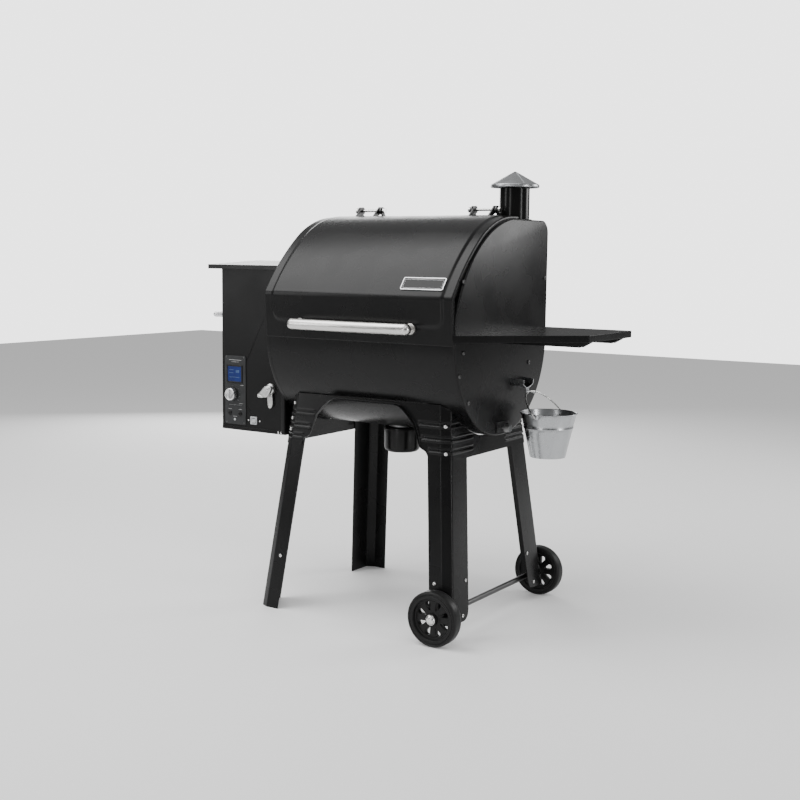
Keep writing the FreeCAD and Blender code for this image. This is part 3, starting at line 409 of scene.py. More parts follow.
def row(x, y, z):
    """A point given in millimetres from the barrel's middle, in the row frame in metres."""
    return Vector((SHIFT + x * MM, y * MM, z * MM))


def dress_cad_nodes():
    """Every CAD node that stays gets its slot's material and softened edges."""
    edge = {"hopper_lid": 1.6, "side_shelf": 1.2, "hopper_body": 1.2, "power_inlet": 1.0,
            "hopper_grab_bar": 0.0, "cooking_grate": 0.0, "warming_rack": 0.0, "auger_screw": 0.0,
            "fan_impeller": 0.0}
    looks = {"ash_pull_bracket": "dark_hardware", "hopper_grab_bar": "knob_silver",
             "chimney_tube": "black_gloss"}
    slots = {s["node"]: s["material_slot"] for s in frame["record"]["subparts"]}
    for name, obj in NODES.items():
        obj.data.materials.clear()
        obj.data.materials.append(MATERIALS[looks.get(name, slots[name])])
        weld = obj.modifiers.new("weld", "WELD")
        weld.merge_threshold = 1e-6
        width = edge.get(name, 0.7) * MM
        if width > 0:
            mod = obj.modifiers.new("edge", "BEVEL")
            mod.width = width
            mod.segments = 3
            mod.limit_method = "ANGLE"
            mod.angle_limit = math.radians(40)
            mod.use_clamp_overlap = True
        for polygon in obj.data.polygons:
            polygon.use_smooth = True
        turn = obj.modifiers.new("flat_faces", "WEIGHTED_NORMAL")
        turn.keep_sharp = False


# ---------------------------------------------------------------- outlines shared by lid and caps
def arc_points(a, b, c, count):
    """Points from a to c on the circle through a, b and c, in the plane of the two numbers given."""
    ax, ay, bx, by, cx, cy = *a, *b, *c
    d = 2 * (ax * (by - cy) + bx * (cy - ay) + cx * (ay - by))
    ux = ((ax**2 + ay**2) * (by - cy) + (bx**2 + by**2) * (cy - ay) + (cx**2 + cy**2) * (ay - by)) / d
    uy = ((ax**2 + ay**2) * (cx - bx) + (bx**2 + by**2) * (ax - cx) + (cx**2 + cy**2) * (bx - ax)) / d
    radius = math.hypot(ax - ux, ay - uy)
    start, mid, end = (math.atan2(y - uy, x - ux) for x, y in (a, b, c))
    full = 2 * math.pi
    if (mid - start) % full > (end - start) % full:
        span = -((start - end) % full)
    else:
        span = (end - start) % full
    angles = [start + span * k / count for k in range(count + 1)]
    return [(ux + radius * math.cos(t), uy + radius * math.sin(t)) for t in angles]


def line_points(a, b, count):
    return [(a[0] + (b[0] - a[0]) * k / count, a[1] + (b[1] - a[1]) * k / count) for k in range(count + 1)]


def chained(*runs):
    points = list(runs[0])
    for run in runs[1:]:
        points += run[1:]
    return points


LID_PROFILE = chained(
    line_points((-267.0, 794.0), (-276.4, 911.0), 40),
    arc_points((-276.4, 911.0), (-276.2, 919.8), (-272.5, 927.0), 8),
    arc_points((-272.5, 927.0), (-204.0, 1012.0), (-113.0, 1091.0), 44),
    arc_points((-113.0, 1091.0), (-37.0, 1126.5), (50.0, 1141.0), 28),
    line_points((50.0, 1141.0), (84.0, 1141.0), 8),
)
CAP_PROFILE = chained(
    arc_points((-265.0, 797.0), (0.0, 532.0), (265.0, 797.0), 72),
    line_points((265.0, 797.0), (265.0, 1096.0), 6),
    arc_points((265.0, 1096.0), (254.2, 1122.2), (228.0, 1133.0), 10),
    line_points((228.0, 1133.0), (40.0, 1133.0), 4),
    arc_points((40.0, 1133.0), (-143.0, 1052.0), (-265.0, 850.0), 48),
    line_points((-265.0, 850.0), (-265.0, 797.0), 3),
)[:-1]


def inward_normals(points, closed=False):
    """Unit normals that point into the body, for points that run round it clockwise or not."""
    middle = (20.0, 850.0)
    normals = []
    for k, point in enumerate(points):
        before = points[k - 1] if (closed or k > 0) else point
        after = points[(k + 1) % len(points)] if (closed or k < len(points) - 1) else point
        dy, dz = after[0] - before[0], after[1] - before[1]
        length = math.hypot(dy, dz)
        ny, nz = -dz / length, dy / length
        if ny * (middle[0] - point[0]) + nz * (middle[1] - point[1]) < 0:
            ny, nz = -ny, -nz
        normals.append((ny, nz))
    return normals


def smooth_step(value):
    value = min(max(value, 0.0), 1.0)
    return value * value * (3 - 2 * value)


# ---------------------------------------------------------------- lid
FIELD_RISE = 3.0
FIELD_HALF = 281.0
FIELD_FOOT = 50.0
FIELD_ROUND = 24.0
LID_HALF = 311.0


def field_rise(x, run, total):
    """Height of the pressed field above the lid's rim band, in millimetres."""
    lo, hi = FIELD_FOOT, total - 26.0
    dx = abs(x) - (FIELD_HALF - FIELD_ROUND)
    ds = abs(run - (lo + hi) / 2) - ((hi - lo) / 2 - FIELD_ROUND)
    outside = math.hypot(max(dx, 0), max(ds, 0)) + min(max(dx, ds), 0) - FIELD_ROUND
    return FIELD_RISE * smooth_step((6.0 - outside) / 12.0)


def fold(flat_end, depth, bend, steps=4):
    """(position, depth) pairs that start inside a folded edge and come round its bend."""
    pairs = [(flat_end, depth), (flat_end, bend + 2)]
    for k in range(steps + 1):
        angle = math.pi / 2 * k / steps
        pairs.append((flat_end + bend * (1 - math.cos(angle)), bend * (1 - math.sin(angle))))
    return pairs


def make_lid():
    left = [(-LID_HALF + at, depth) for at, depth in fold(0.0, 14.0, 3.0)]
    border = [(-LID_HALF + 3 + k * 1.6, 0.0) for k in range(1, 27)]
    start = border[-1][0]
    middle = [(start + (-2 * start) * k / 40, 0.0) for k in range(1, 40)]
    half = left + border
    columns = half + middle + [(-x, depth) for x, depth in reversed(half)]
    points, normals = LID_PROFILE, inward_normals(LID_PROFILE)
    runs = [0.0]
    for a, b in zip(points, points[1:]):
        runs.append(runs[-1] + math.hypot(b[0] - a[0], b[1] - a[1]))
    verts = []
    hem = [(0, 10.0), (0, 3.0), (0, 0.8)]
    rows = hem + [(k, 0.0) for k in range(len(points))]
    for k, row_depth in rows:
        (y, z), (ny, nz) = points[k], normals[k]
        for x, depth in columns:
            inward = max(depth, row_depth) - field_rise(x, runs[k], runs[-1])
            verts.append(row(x, y + ny * inward, z + nz * inward))
    lid = add_mesh("lid_pressing", verts, grid_faces(len(rows), len(columns)))
    thicken(lid, 1.4)
    finish_piece(lid, "black_enamel", "lid", replaced=("lid_shell",))
    face_out(lid, Vector((0, -1, 0.6)))


def face_out(obj, direction):
    """Turns the faces over if most of them look away from the direction given."""
    total = sum((p.normal.dot(direction) * p.area for p in obj.data.polygons), 0.0)
    if total < 0:
        obj.data.flip_normals()


def make_nameplate():
    """Blank plate with a polished rim and a black field, laid flat along the lid."""
    x0, x1 = 145.0, 278.0
    points, normals = LID_PROFILE, inward_normals(LID_PROFILE)
    band = [k for k, (y, z) in enumerate(points) if 933.0 < z < 970.0 and k > 47]
    lows, highs = points[band[0]], points[band[-1]]
    ny, nz = normals[band[len(band) // 2]]
    along = Vector((0, highs[0] - lows[0], highs[1] - lows[1])).normalized()
    out = Vector((0, -ny, -nz))
    centre = Vector((SHIFT / MM + (x0 + x1) / 2, (lows[0] + highs[0]) / 2, (lows[1] + highs[1]) / 2))
    centre += out * (FIELD_RISE + 0.2)
    turn = Matrix((Vector((1, 0, 0)), along, Vector((1, 0, 0)).cross(along))).transposed().to_4x4()
    place = Matrix.Translation(centre * MM) @ turn
    half_x, half_s = (x1 - x0) / 2, 20.0
    rim = frame_plate("nameplate_rim", half_x, half_s, 5.0, 3.0, 0.0, 3.0, place)
    finish_piece(rim, "nameplate", "lid", replaced=("lid_nameplate",))
    field = frame_plate("nameplate_field", half_x - 2.5, half_s - 2.5, 3.0, 0.0, 0.0, 1.6, place)
    finish_piece(field, "black_gloss", "lid")
    line = frame_plate("nameplate_line", half_x - 6.0, half_s - 6.0, 2.0, 0.8, 1.4, 2.1, place)
    finish_piece(line, "nameplate", "lid")


def rounded_rect(half_x, half_y, radius, steps=5):
    points = []
    for sx, sy, start in ((1, 1, 0), (-1, 1, 90), (-1, -1, 180), (1, -1, 270)):
        for k in range(steps + 1):
            angle = math.radians(start + 90 * k / steps)
            points.append((sx * (half_x - radius) + radius * math.cos(angle),
                           sy * (half_y - radius) + radius * math.sin(angle)))
    return points


def frame_plate(name, half_x, half_y, radius, border, base, top, place):
    """Rounded plate in millimetres on a local plane; a border above zero leaves a frame of that width."""
    outer = rounded_rect(half_x, half_y, radius)
    soft = 0.5
    rings = [(outer, base), (outer, top - soft),
             (rounded_rect(half_x - soft, half_y - soft, max(radius - soft, 0.3)), top)]
    if border > 0:
        inner = max(radius - border, 0.3)
        rings.append((rounded_rect(half_x - border + soft, half_y - border + soft, inner + soft), top))
        rings.append((rounded_rect(half_x - border, half_y - border, inner), top - soft))
        rings.append((rounded_rect(half_x - border, half_y - border, inner), base))
    verts = [place @ (Vector((x, y, h)) * MM) for ring, h in rings for x, y in ring]
    count = len(outer)
    last = len(rings) - 1
    pairs = [(r, r + 1) for r in range(last)] + ([(last, 0)] if border > 0 else [])
    faces = ring_faces(pairs, count)
    if border <= 0:
        faces.append(tuple(range(last * count, (last + 1) * count)))
        faces.append(tuple(reversed(range(count))))
    return smooth_by_angle(edit_mesh(add_mesh(name, verts, faces), face_outward), 40.0)


# ---------------------------------------------------------------- end caps
def make_end_caps():
    """Each cap is a pressed disc whose rim wraps over the barrel."""
    normals = inward_normals(CAP_PROFILE, closed=True)
    bend, count = 5.0, len(CAP_PROFILE)
    for side, name in ((-1, "end_cap_left"), (1, "end_cap_right")):
        verts = []
        sets = [(13.0, -0.3)]
        for step in range(7):
            angle = math.radians(90 * step / 6)
            sets.append((bend * (1 - math.sin(angle)), -0.3 + bend * (1 - math.cos(angle))))
        for back, inward in sets:
            for (y, z), (ny, nz) in zip(CAP_PROFILE, normals):
                verts.append(row(side * (315.0 - back), y + ny * inward, z + nz * inward))
        faces = ring_faces([(r, r + 1) for r in range(len(sets) - 1)], count)
        faces.append(tuple(range((len(sets) - 1) * count, len(sets) * count)))
        cap = smooth_by_angle(add_mesh(name + "_pressing", verts, faces), 50.0)
        edit_mesh(cap, face_outward)
        face_out(cap, Vector((side, 0, 0)))
        thicken(cap, 1.2)
        finish_piece(cap, "black_enamel", replaced=(name,))


# ---------------------------------------------------------------- cut plates
def cutout(name, outlines, place, thick, soft=0.5):
    """Flat plate with soft edges. The first outline is its edge and the others are holes, in millimetres."""
    curve = bpy.data.curves.new(name + "_edge", "CURVE")
    curve.dimensions = "2D"
    curve.fill_mode = "BOTH"
    curve.extrude = (thick / 2 - soft) * MM
    curve.bevel_depth = soft * MM
    curve.bevel_resolution = 2
    curve.offset = -soft * MM
    for outline in outlines:
        spline = curve.splines.new("POLY")
        spline.points.add(len(outline) - 1)
        for point, (x, y) in zip(spline.points, outline):
            point.co = (x * MM, y * MM, 0.0, 1.0)
        spline.use_cyclic_u = True
    mesh = mesh_of_curve(name + "_edge", curve)
    mesh.transform(place)
    obj = linked(name, mesh)
    edit_mesh(obj, lambda bm: bmesh.ops.remove_doubles(bm, verts=bm.verts, dist=1e-6), face_outward)
    return smooth_by_angle(obj, 35.0)


def facing_front(x, y, z):
    """Local x to the right, local y up and local z towards the cook, at a point in millimetres."""
    turn = Matrix(((1, 0, 0), (0, 0, -1), (0, 1, 0))).to_4x4()
    return Matrix.Translation(row(x, y, z)) @ turn


def circle(radius, x=0.0, y=0.0, steps=40):
    return [(x + radius * math.cos(2 * math.pi * k / steps), y + radius * math.sin(2 * math.pi * k / steps))
            for k in range(steps)]


def mm(profile):
    return [(r * MM, h * MM) for r, h in profile]


# ---------------------------------------------------------------- bolts
def pan_head(name, at, direction, radius, height):
    dome = [(radius * math.cos(t), height * (0.35 + 0.65 * math.sin(t)))
            for t in (math.radians(a) for a in range(0, 90, 15))]
    socket = radius * 0.36
    inner = [(socket, height * 0.97), (socket * 0.9, height * 0.55), (0.0, height * 0.5)]
    outer = [p for p in dome if p[0] > socket * 1.05]
    return lathe(name, mm([(0.0, 0.0), (radius, 0.0)] + outer + inner), at, direction, 24)


def corner_at(z):
    return 327.9 - 0.102 * z, 282.5 - 0.1195 * z


def make_bolts():
    bright, dark = [], []
    face = (13.0, -26.0)
    length = math.hypot(*face)
    for sx, heights in ((-1, (600.0, 556.0, 524.0)), (1, (574.0, 501.0))):
        for z in heights:
            cx, cy = corner_at(z)
            for sy in (-1, 1):
                at = row(sx * (cx - 13 + 1.2), sy * (cy - 6.5 + 2.1), z)
                toward = Vector((sx * face[0] / length, -sy * face[1] / length, 0))
                bright.append(pan_head("bolt", at, toward, 5.0, 3.4))
    cx, cy = corner_at(155.0)
    for sx in (-1, 1):
        for sy in (-1, 1):
            bright.append(pan_head("bolt", row(sx * (cx - 49), sy * (cy + 0.2), 155), (0, sy, 0), 5.0, 3.2))
            bright.append(pan_head("bolt", row(sx * (cx + 0.2), sy * (cy - 82), 155), (sx, 0, 0), 5.0, 3.2))
    cx, cy = corner_at(64.0)
    for sy in (-1, 1):
        bright.append(pan_head("bolt", row(cx + 0.2, sy * (cy - 64), 64), (1, 0, 0), 5.0, 3.2))
    for x, z in ((-456, 528), (-412, 528)):
        bright.append(pan_head("screw", row(x, -177, z), (0, -1, 0), 2.6, 1.6))
    for x, z in ((-540, 716), (-472, 716), (-540, 517), (-472, 517)):
        dark.append(pan_head("screw", row(x, -179, z), (0, -1, 0), 2.6, 1.6))
    for x, z in ((-330, 500), (-341, 500)):
        bright.append(pan_head("screw", row(x, -177, z), (0, -1, 0), 3.5, 2.0))
    for x, z in ((-323, 800), (-323, 720)):
        bright.append(pan_head("screw", row(x, -178.8, z), (0, -1, 0), 3.5, 2.2))
    for y, z in ((-226, 962), (246, 968), (-222, 776), (156, 726), (-240, 715), (-190, 640)):
        dark.append(pan_head("bolt", row(315, y, z), (1, 0, 0), 6.0, 4.0))
    for y, z in ((-240, 776), (-235, 705), (-226, 755)):
        dark.append(pan_head("bolt", row(-315, y, z), (-1, 0, 0), 5.0, 4.0))
    for side in (-1, 1):
        profile = [(8.2, 0), (14, 0), (14, 1.2), (12.5, 2.0), (11.5, 4.6), (8.5, 6.8), (4.0, 7.9), (0, 8.0),
                   (0, 6.0), (8.2, 4.5)]
        nut = lathe("wheel_nut", mm(profile), row(AXLE_X, side * 326.0, AXLE_Z), (0, side, 0), 32)
        bright.append(nut)
    finish_piece(join(bright, "bright_bolts"), "zinc_hardware", replaced=("fasteners",))
    finish_piece(join(dark, "dark_bolts"), "dark_hardware")


# ---------------------------------------------------------------- wheels
def window(angle, r0, r1, narrow, wide):
    """Teardrop hole in the wheel's web, narrow end to the hub."""
    points = []
    for k in range(9):
        t = math.radians(-90 + 180 * k / 8)
        points.append((r1 - wide + wide * math.cos(t), wide * math.sin(t)))
    for k in range(6):
        t = math.radians(90 + 180 * k / 5)
        points.append((r0 + narrow + narrow * math.cos(t), narrow * math.sin(t)))
    c, s = math.cos(angle), math.sin(angle)
    return [(x * c - y * s, x * s + y * c) for x, y in points]


def make_wheels():
    for side, node, body in ((-1, "wheel_front", "front_wheel"), (1, "wheel_rear", "back_wheel")):
        centre = row(AXLE_X, side * 307.0, AXLE_Z)
        tread = [(55, -16), (57, -18.5), (64, -19), (65.2, -17.6), (66.6, -17.6), (67.8, -19),
                 (70, -18.6), (73.2, -16.4), (74.7, -12.5), (75, -7), (75, 7), (74.7, 12.5), (73.2, 16.4),
                 (70, 18.6), (67.8, 19), (66.6, 17.6), (65.2, 17.6), (64, 19), (57, 18.5), (55, 16)]
        tyre = lathe(node + "_tyre", mm(tread), centre, (0, side, 0), 96)
        finish_piece(tyre, "wheel_black", body, replaced=(node,))
        turn = Matrix(((1, 0, 0), (0, 0, side), (0, -side, 0))).to_4x4()
        place = Matrix.Translation(centre) @ turn
        holes = [window(math.radians(22.5 + 45 * k), 24.0, 49.0, 2.2, 7.6) for k in range(8)]
        web = cutout(node + "_web", [circle(56.5, steps=96)] + holes + [circle(8.2)], place, 15.0, 1.2)
        ring = [(49.5, 5), (50.5, 9.5), (52, 10.5), (56, 10.5), (56, -10.5), (52, -10.5), (50.5, -9.5),
                (49.5, -5)]
        rim = lathe(node + "_rim", mm(ring), centre, (0, side, 0), 96)
        hub = [(8.2, -18), (15, -18), (16, -17), (17, -9), (22, -7), (22, 7), (17, 9), (16, 17), (15, 18),
               (8.2, 18)]
        core = lathe(node + "_hub", mm(hub), centre, (0, side, 0), 48)
        finish_piece(join([web, rim, core], node + "_centre"), "wheel_black", body)


# ---------------------------------------------------------------- base skirt and legs
def rounded_path(corners, radius, steps=6):
    """Open polyline whose inner corners are arcs of the radius given."""
    points = [Vector(corners[0])]
    for a, b, c in zip(corners, corners[1:], corners[2:]):
        a, b, c = Vector(a), Vector(b), Vector(c)
        back, ahead = (a - b).normalized(), (c - b).normalized()
        turn = math.pi - back.angle(ahead)
        reach = radius * math.tan(turn / 2)
        start, end = b + back * reach, b + ahead * reach
        middle = b + (back + ahead).normalized() * (radius / math.cos(turn / 2))
        for k in range(steps + 1):
            t = k / steps
            flat = start.lerp(end, t) - middle
            points.append(middle + flat.normalized() * radius)
    points.append(Vector(corners[-1]))
    return points


SKIRT_FOOT = 482.0  # lower edge of the skirt
BARREL_MIDDLE = 797.0  # height of the axis of the barrel's round part


def barrel_foot(y, radius):
    """Height of the barrel's underside above a line at depth y."""
    return BARREL_MIDDLE - math.sqrt(max(radius ** 2 - y ** 2, 0.0))


def arch_height(x):
    """Lowest point of the skirt's front at a distance from the middle."""
    knots = [(0, 624), (100, 624), (116, 621), (130, 612), (145, 598), (165, 575), (177, 545), (184, 522),
             (190, 512), (200, 508), (207, 504), (214, 492), (218, 482), (400, 482)]
    for (x0, z0), (x1, z1) in zip(knots, knots[1:]):
        if abs(x) <= x1:
            return z0 + (z1 - z0) * (abs(x) - x0) / (x1 - x0)
    return SKIRT_FOOT


def skirt_section(z):
    """Quarter of the skirt's outline at a height, from the middle of the front to the middle of the side."""
    cx, cy = corner_at(z)
    y = -cy - 2.0
    front = [(3.0 * k, y) for k in range(74)]
    bends = rounded_path([(222.0, y), (cx - 24.0, y), (cx + 2.0, -cy + 13.0), (cx + 2.0, -cy + 32.0)], 10.0)
    start = Vector(front[-1])
    lead = [tuple(start.lerp(bends[1], k / 6)) for k in range(1, 6)]
    corner = [tuple(p) for p in bends[1:-1]]
    side = [(cx + 2.0, -cy + 26.0 + (cy - 26.0) * k / 60) for k in range(61)]
    return front + lead + corner + side


RIBS = ((577.0, 172.0), (539.0, 184.0), (508.0, 209.0))  # height of each rib, and where its front end starts


def groove(x, y, z, cy):
    """How far the pressed ribs sink into the skirt at a point of its front right quarter."""
    depth = 0.0
    for level, starts_at in RIBS:
        if y <= -cy:
            fade = smooth_step((x - starts_at) / 8.0)
        else:
            fade = smooth_step((-cy + 132.0 - y) / 10.0)
        away = abs(z - level)
        depth += fade * (3.0 * math.exp(-(away / 2.4) ** 2) - 1.1 * math.exp(-((away - 6.6) / 2.2) ** 2))
    return depth


def make_skirt():
    levels = [SKIRT_FOOT + 1.6 * k for k in range(100)]
    verts, faces = [], []
    width = len(skirt_section(SKIRT_FOOT))
    for sx in (1, -1):
        for sy in (1, -1):
            base = len(verts)
            for z in levels:
                section = skirt_section(z)
                cx, cy = corner_at(z)
                for k, (x, y) in enumerate(section):
                    low = arch_height(x) if y < -cy else SKIRT_FOOT
                    top = min(barrel_foot(y, 267.0), 640.0)
                    height = min(max(z, low), max(top, low))
                    before, after = section[max(k - 1, 0)], section[min(k + 1, width - 1)]
                    dx, dy = after[0] - before[0], after[1] - before[1]
                    length = math.hypot(dx, dy)
                    sink = groove(x, y, height, cy)
                    verts.append(row(sx * (x - dy / length * sink), sy * (y + dx / length * sink), height))
            faces += grid_faces(len(levels), width, base, sx * sy < 0)
    skirt = add_mesh("skirt_pressing", verts, faces)
    edit_mesh(skirt, lambda bm: bmesh.ops.remove_doubles(bm, verts=bm.verts, dist=2e-5),
              lambda bm: bmesh.ops.dissolve_degenerate(bm, edges=bm.edges, dist=1e-5))
    smooth_by_angle(skirt, 50.0)
    thicken(skirt, 1.4)
    finish_piece(skirt, "black_enamel", replaced=("front_apron", "rear_apron", "left_apron", "right_apron"))


def leg_section(z):
    cx, cy = corner_at(z)
    return rounded_path([(cx - 67.0, -cy), (cx - 26.0, -cy), (cx, -cy + 13.0), (cx, -cy + 96.0)], 11.0, 8)


def make_legs():
    for sx, sy, node in ((1, -1, "leg_front_right"), (1, 1, "leg_rear_right"), (-1, -1, "leg_front_left"),
                         (-1, 1, "leg_rear_left")):
        columns, extra, rows = len(leg_section(0.0)), 8, 16
        toe = 26.0
        foot = 48.0 if sx > 0 else 0.0
        verts = []
        for r in range(rows + 1):
            share = r / rows
            line = []
            for k in range(columns + extra):
                lift, slip = 0.0, 0.0
                index = min(k, columns - 1)
                if k >= columns - 1:
                    slip = -toe + toe * (k - columns + 1) / extra
                    if sx > 0:
                        lift = toe - math.sqrt(max(toe ** 2 - (toe + slip) ** 2, 0.0))
                low = foot + lift
                top = 560.0
                for _ in range(6):
                    y = leg_section(top)[index].y + slip
                    top = min(636.0, barrel_foot(y, 266.5) - 1.0)
                z = low + (top - low) * share
                x, y = leg_section(z)[index]
                line.append(row(sx * x, -sy * (y + slip), z))
            verts += line
        faces = grid_faces(rows + 1, columns + extra, flipped=sx * sy > 0)
        leg = smooth_by_angle(add_mesh(node + "_pressing", verts, faces), 50.0)
        thicken(leg, 2.2)
        finish_piece(leg, "black_enamel", replaced=(node,))


# ---------------------------------------------------------------- hopper front
def make_controls():
    plate = cutout("panel_face", [rounded_rect(41, 104.5, 5)], facing_front(-506, -178.2, 616.5), 2.4, 0.6)
    finish_piece(plate, "panel_grey", replaced=("control_panel",))
    frame_at = facing_front(-508, -179.2, 665.5)
    surround = frame_plate("display_surround", 31, 27.5, 3.0, 4.6, 0.0, 2.4, frame_at)
    finish_piece(surround, "black_plastic")
    screen = frame_plate("display_glass", 26.6, 23.1, 1.5, 0.0, 0.0, 1.5, frame_at)
    finish_piece(screen, "lcd_blue", replaced=("lcd_window",))
    segments = []
    for x, y, half_x, half_y in ((-12, 12, 9, 1.1), (-12, 3, 9, 1.1), (12, 8, 7, 4.2), (0, -10, 20, 1.0)):
        place = frame_at @ Matrix.Translation(Vector((x, y, 1.3)) * MM)
        segments.append(frame_plate("segment", half_x, half_y, 0.6, 0.0, 0.0, 0.5, place))
    finish_piece(join(segments, "display_marks"), "display_mark")
    skirt = [(0, 0), (21, 0), (21, 2.2), (20, 3.4), (17.4, 3.9), (0, 3.9)]
    at = row(-516, -179.5, 604)
    base = lathe("knob_skirt", mm(skirt), at, (0, -1, 0), 64)
    finish_piece(base, "black_plastic", "dial")
    turned = [(0, 3.5), (19.6, 3.5), (20.0, 5), (19.2, 14.5), (18.0, 16.6), (16.4, 17.4), (15.4, 16.9),
              (0, 16.7)]
    grip = lathe("knob_grip", mm(turned), at, (0, -1, 0), 64)
    ridge = slab("knob_ridge", row(-518.2, -200.4, 590.5), row(-513.8, -195.5, 617.5), 1.2 * MM)
    finish_piece(join([grip, ridge], "knob_cap"), "knob_silver", "dial", replaced=("control_knob",))
    marks = []
    for k in range(11):
        angle = math.radians(-130 + 26 * k)
        centre = facing_front(-516 + 27 * math.sin(angle), -179.3, 604 + 27 * math.cos(angle))
        place = centre @ Matrix.Rotation(-angle, 4, "Z")
        marks.append(frame_plate("tick", 0.55, 2.4, 0.3, 0.0, 0.0, 0.35, place))
    bars = ((-506, 708, 24, 1.0), (-506, 702, 15, 0.8), (-480, 632, 7, 0.8), (-483, 576, 7, 0.8),
            (-527, 558, 7, 0.8), (-487, 558, 7, 0.8), (-507, 536, 8, 0.8), (-506, 571, 26, 0.5))
    for x, z, half_x, half_z in bars:
        marks.append(frame_plate("bar", half_x, half_z, 0.4, 0.0, 0.0, 0.3, facing_front(x, -179.3, z)))
    finish_piece(join(marks, "panel_marks"), "ink_white")
    jacks = []
    for x in (-527, -487):
        profile = [(2.0, 0), (7.0, 0), (7.0, 1.6), (5.6, 3.4), (4.6, 3.9), (2.0, 3.9)]
        jacks.append(lathe("jack", mm(profile), row(x, -179.2, 545), (0, -1, 0), 32))
    finish_piece(join(jacks, "jack_rings"), "black_plastic", replaced=("probe_jacks",))
    holes = [rounded_rect(7.8, 7.3, 1.0)]
    bezel_at = facing_front(-434.5, -178.4, 528.5)
    bezel = cutout("switch_plate", [rounded_rect(12.5, 12.0, 2.0)] + holes, bezel_at, 3.0, 0.7)
    finish_piece(bezel, "switch_grey", replaced=("power_switch_bezel",))
    strip = slab("hopper_flange", row(-329.5, -178.9, 499), row(-316.5, -176.6, 980), 0.6 * MM)
    finish_piece(strip, "black_matte_metal")
    seam = slab("hopper_band", row(-558.6, -178.3, 489 + 6.5), row(-331, -176.8, 505), 0.6 * MM)
    finish_piece(seam, "black_matte_metal")


def make_opener():
    x, y = -378.0, -177.0
    tail = [(-2, 46), (1, 18), (2.5, 6), (5, 2), (9, 0), (13, 0.5), (18, 6), (21, 14), (20.5, 30), (19, 46)]
    back = cutout("opener_tail", [tail], facing_front(x, y - 4.0, 571), 8.0, 2.2)
    button = [(0, 0), (17, 0), (17, 3.5), (15.8, 7.0), (12.5, 10.0), (7, 11.6), (0, 12.0)]
    dome = lathe("opener_dome", mm(button), row(x + 9, y, 629), (0, -1, 0), 48)
    strap = [(-7, 62), (-16, 52), (-27, 44), (-27, 35), (-24, 32.5), (-10, 33), (2, 33), (8, 36), (16, 44),
             (21, 54), (25, 62), (18, 68), (0, 68)]
    jaw = cutout("opener_jaw", [strap], facing_front(x, y - 13.5, 571), 12.0, 3.6)
    lip = [(-27, 42), (-27, 35), (-24, 32), (-12, 31.5), (-4, 33), (-12, 38), (-20, 41)]
    hook = cutout("opener_hook", [lip], facing_front(x, y - 14.0, 571), 15.0, 2.2)
    screws = [pan_head("opener_screw", row(x + 10, y - 19.2, 629), (0, -1, 0), 4.4, 2.0),
              pan_head("opener_screw", row(x + 12, y - 7.8, 581), (0, -1, 0), 3.6, 1.8)]
    finish_piece(join([back, dome, jaw, hook], "opener_casting"), "cast_silver", replaced=("bottle_opener",))
    finish_piece(join(screws, "opener_screws"), "zinc_hardware")


# ---------------------------------------------------------------- handle, ash cup, bucket, chimney cap
def make_handle():
    half, radius, bow, height, tip = 202.0, 15.5, 8.0, 836.0, 13.0
    sides, count = 40, 44
    verts = []
    stations = [math.sin(math.pi / 2 * (2 * k / count - 1)) for k in range(count + 1)]
    for s in stations:
        along = s * half
        near = max(abs(along) - (half - tip), 0.0) / tip
        r = radius * math.sqrt(max(1 - near ** 2, 0.0)) if near > 0 else radius
        r = max(r, 0.4)
        y = -313.0 + bow * (along / half) ** 2
        for k in range(sides):
            t = 2 * math.pi * k / sides
            verts.append(row(along, y + r * math.cos(t), height + r * math.sin(t)))
    faces = ring_faces([(i, i + 1) for i in range(count)], sides)
    faces.append(tuple(range(sides)))
    faces.append(tuple(reversed(range(count * sides, (count + 1) * sides))))
    bar = smooth_by_angle(add_mesh("handle_bar", verts, faces), 60.0)
    edit_mesh(bar, face_outward)
    finish_piece(bar, "stainless", "lid", replaced=("lid_handle_bar",))


def make_cup():
    angles = [math.radians(a) for a in range(0, 91, 10)]
    corner = [(53 - 14 + 14 * math.sin(t), 14 - 14 * math.cos(t)) for t in angles]
    inner = [(51.5, 72.2), (51.5, 14.5), (48, 5), (39, 1.6), (0, 1.6)]
    profile = [(0, 0)] + corner + [(53, 66), (54, 67), (54, 71.5), (53, 73)] + inner
    cup = lathe("ash_cup_drawn", mm(profile), row(-16, 0, 455), (0, 0, 1), 72)
    finish_piece(cup, "black_gloss", "ash_can", replaced=("ash_cup",))


def pail_radius(z):
    return 50 + 28 * (z - 467) / 124.0


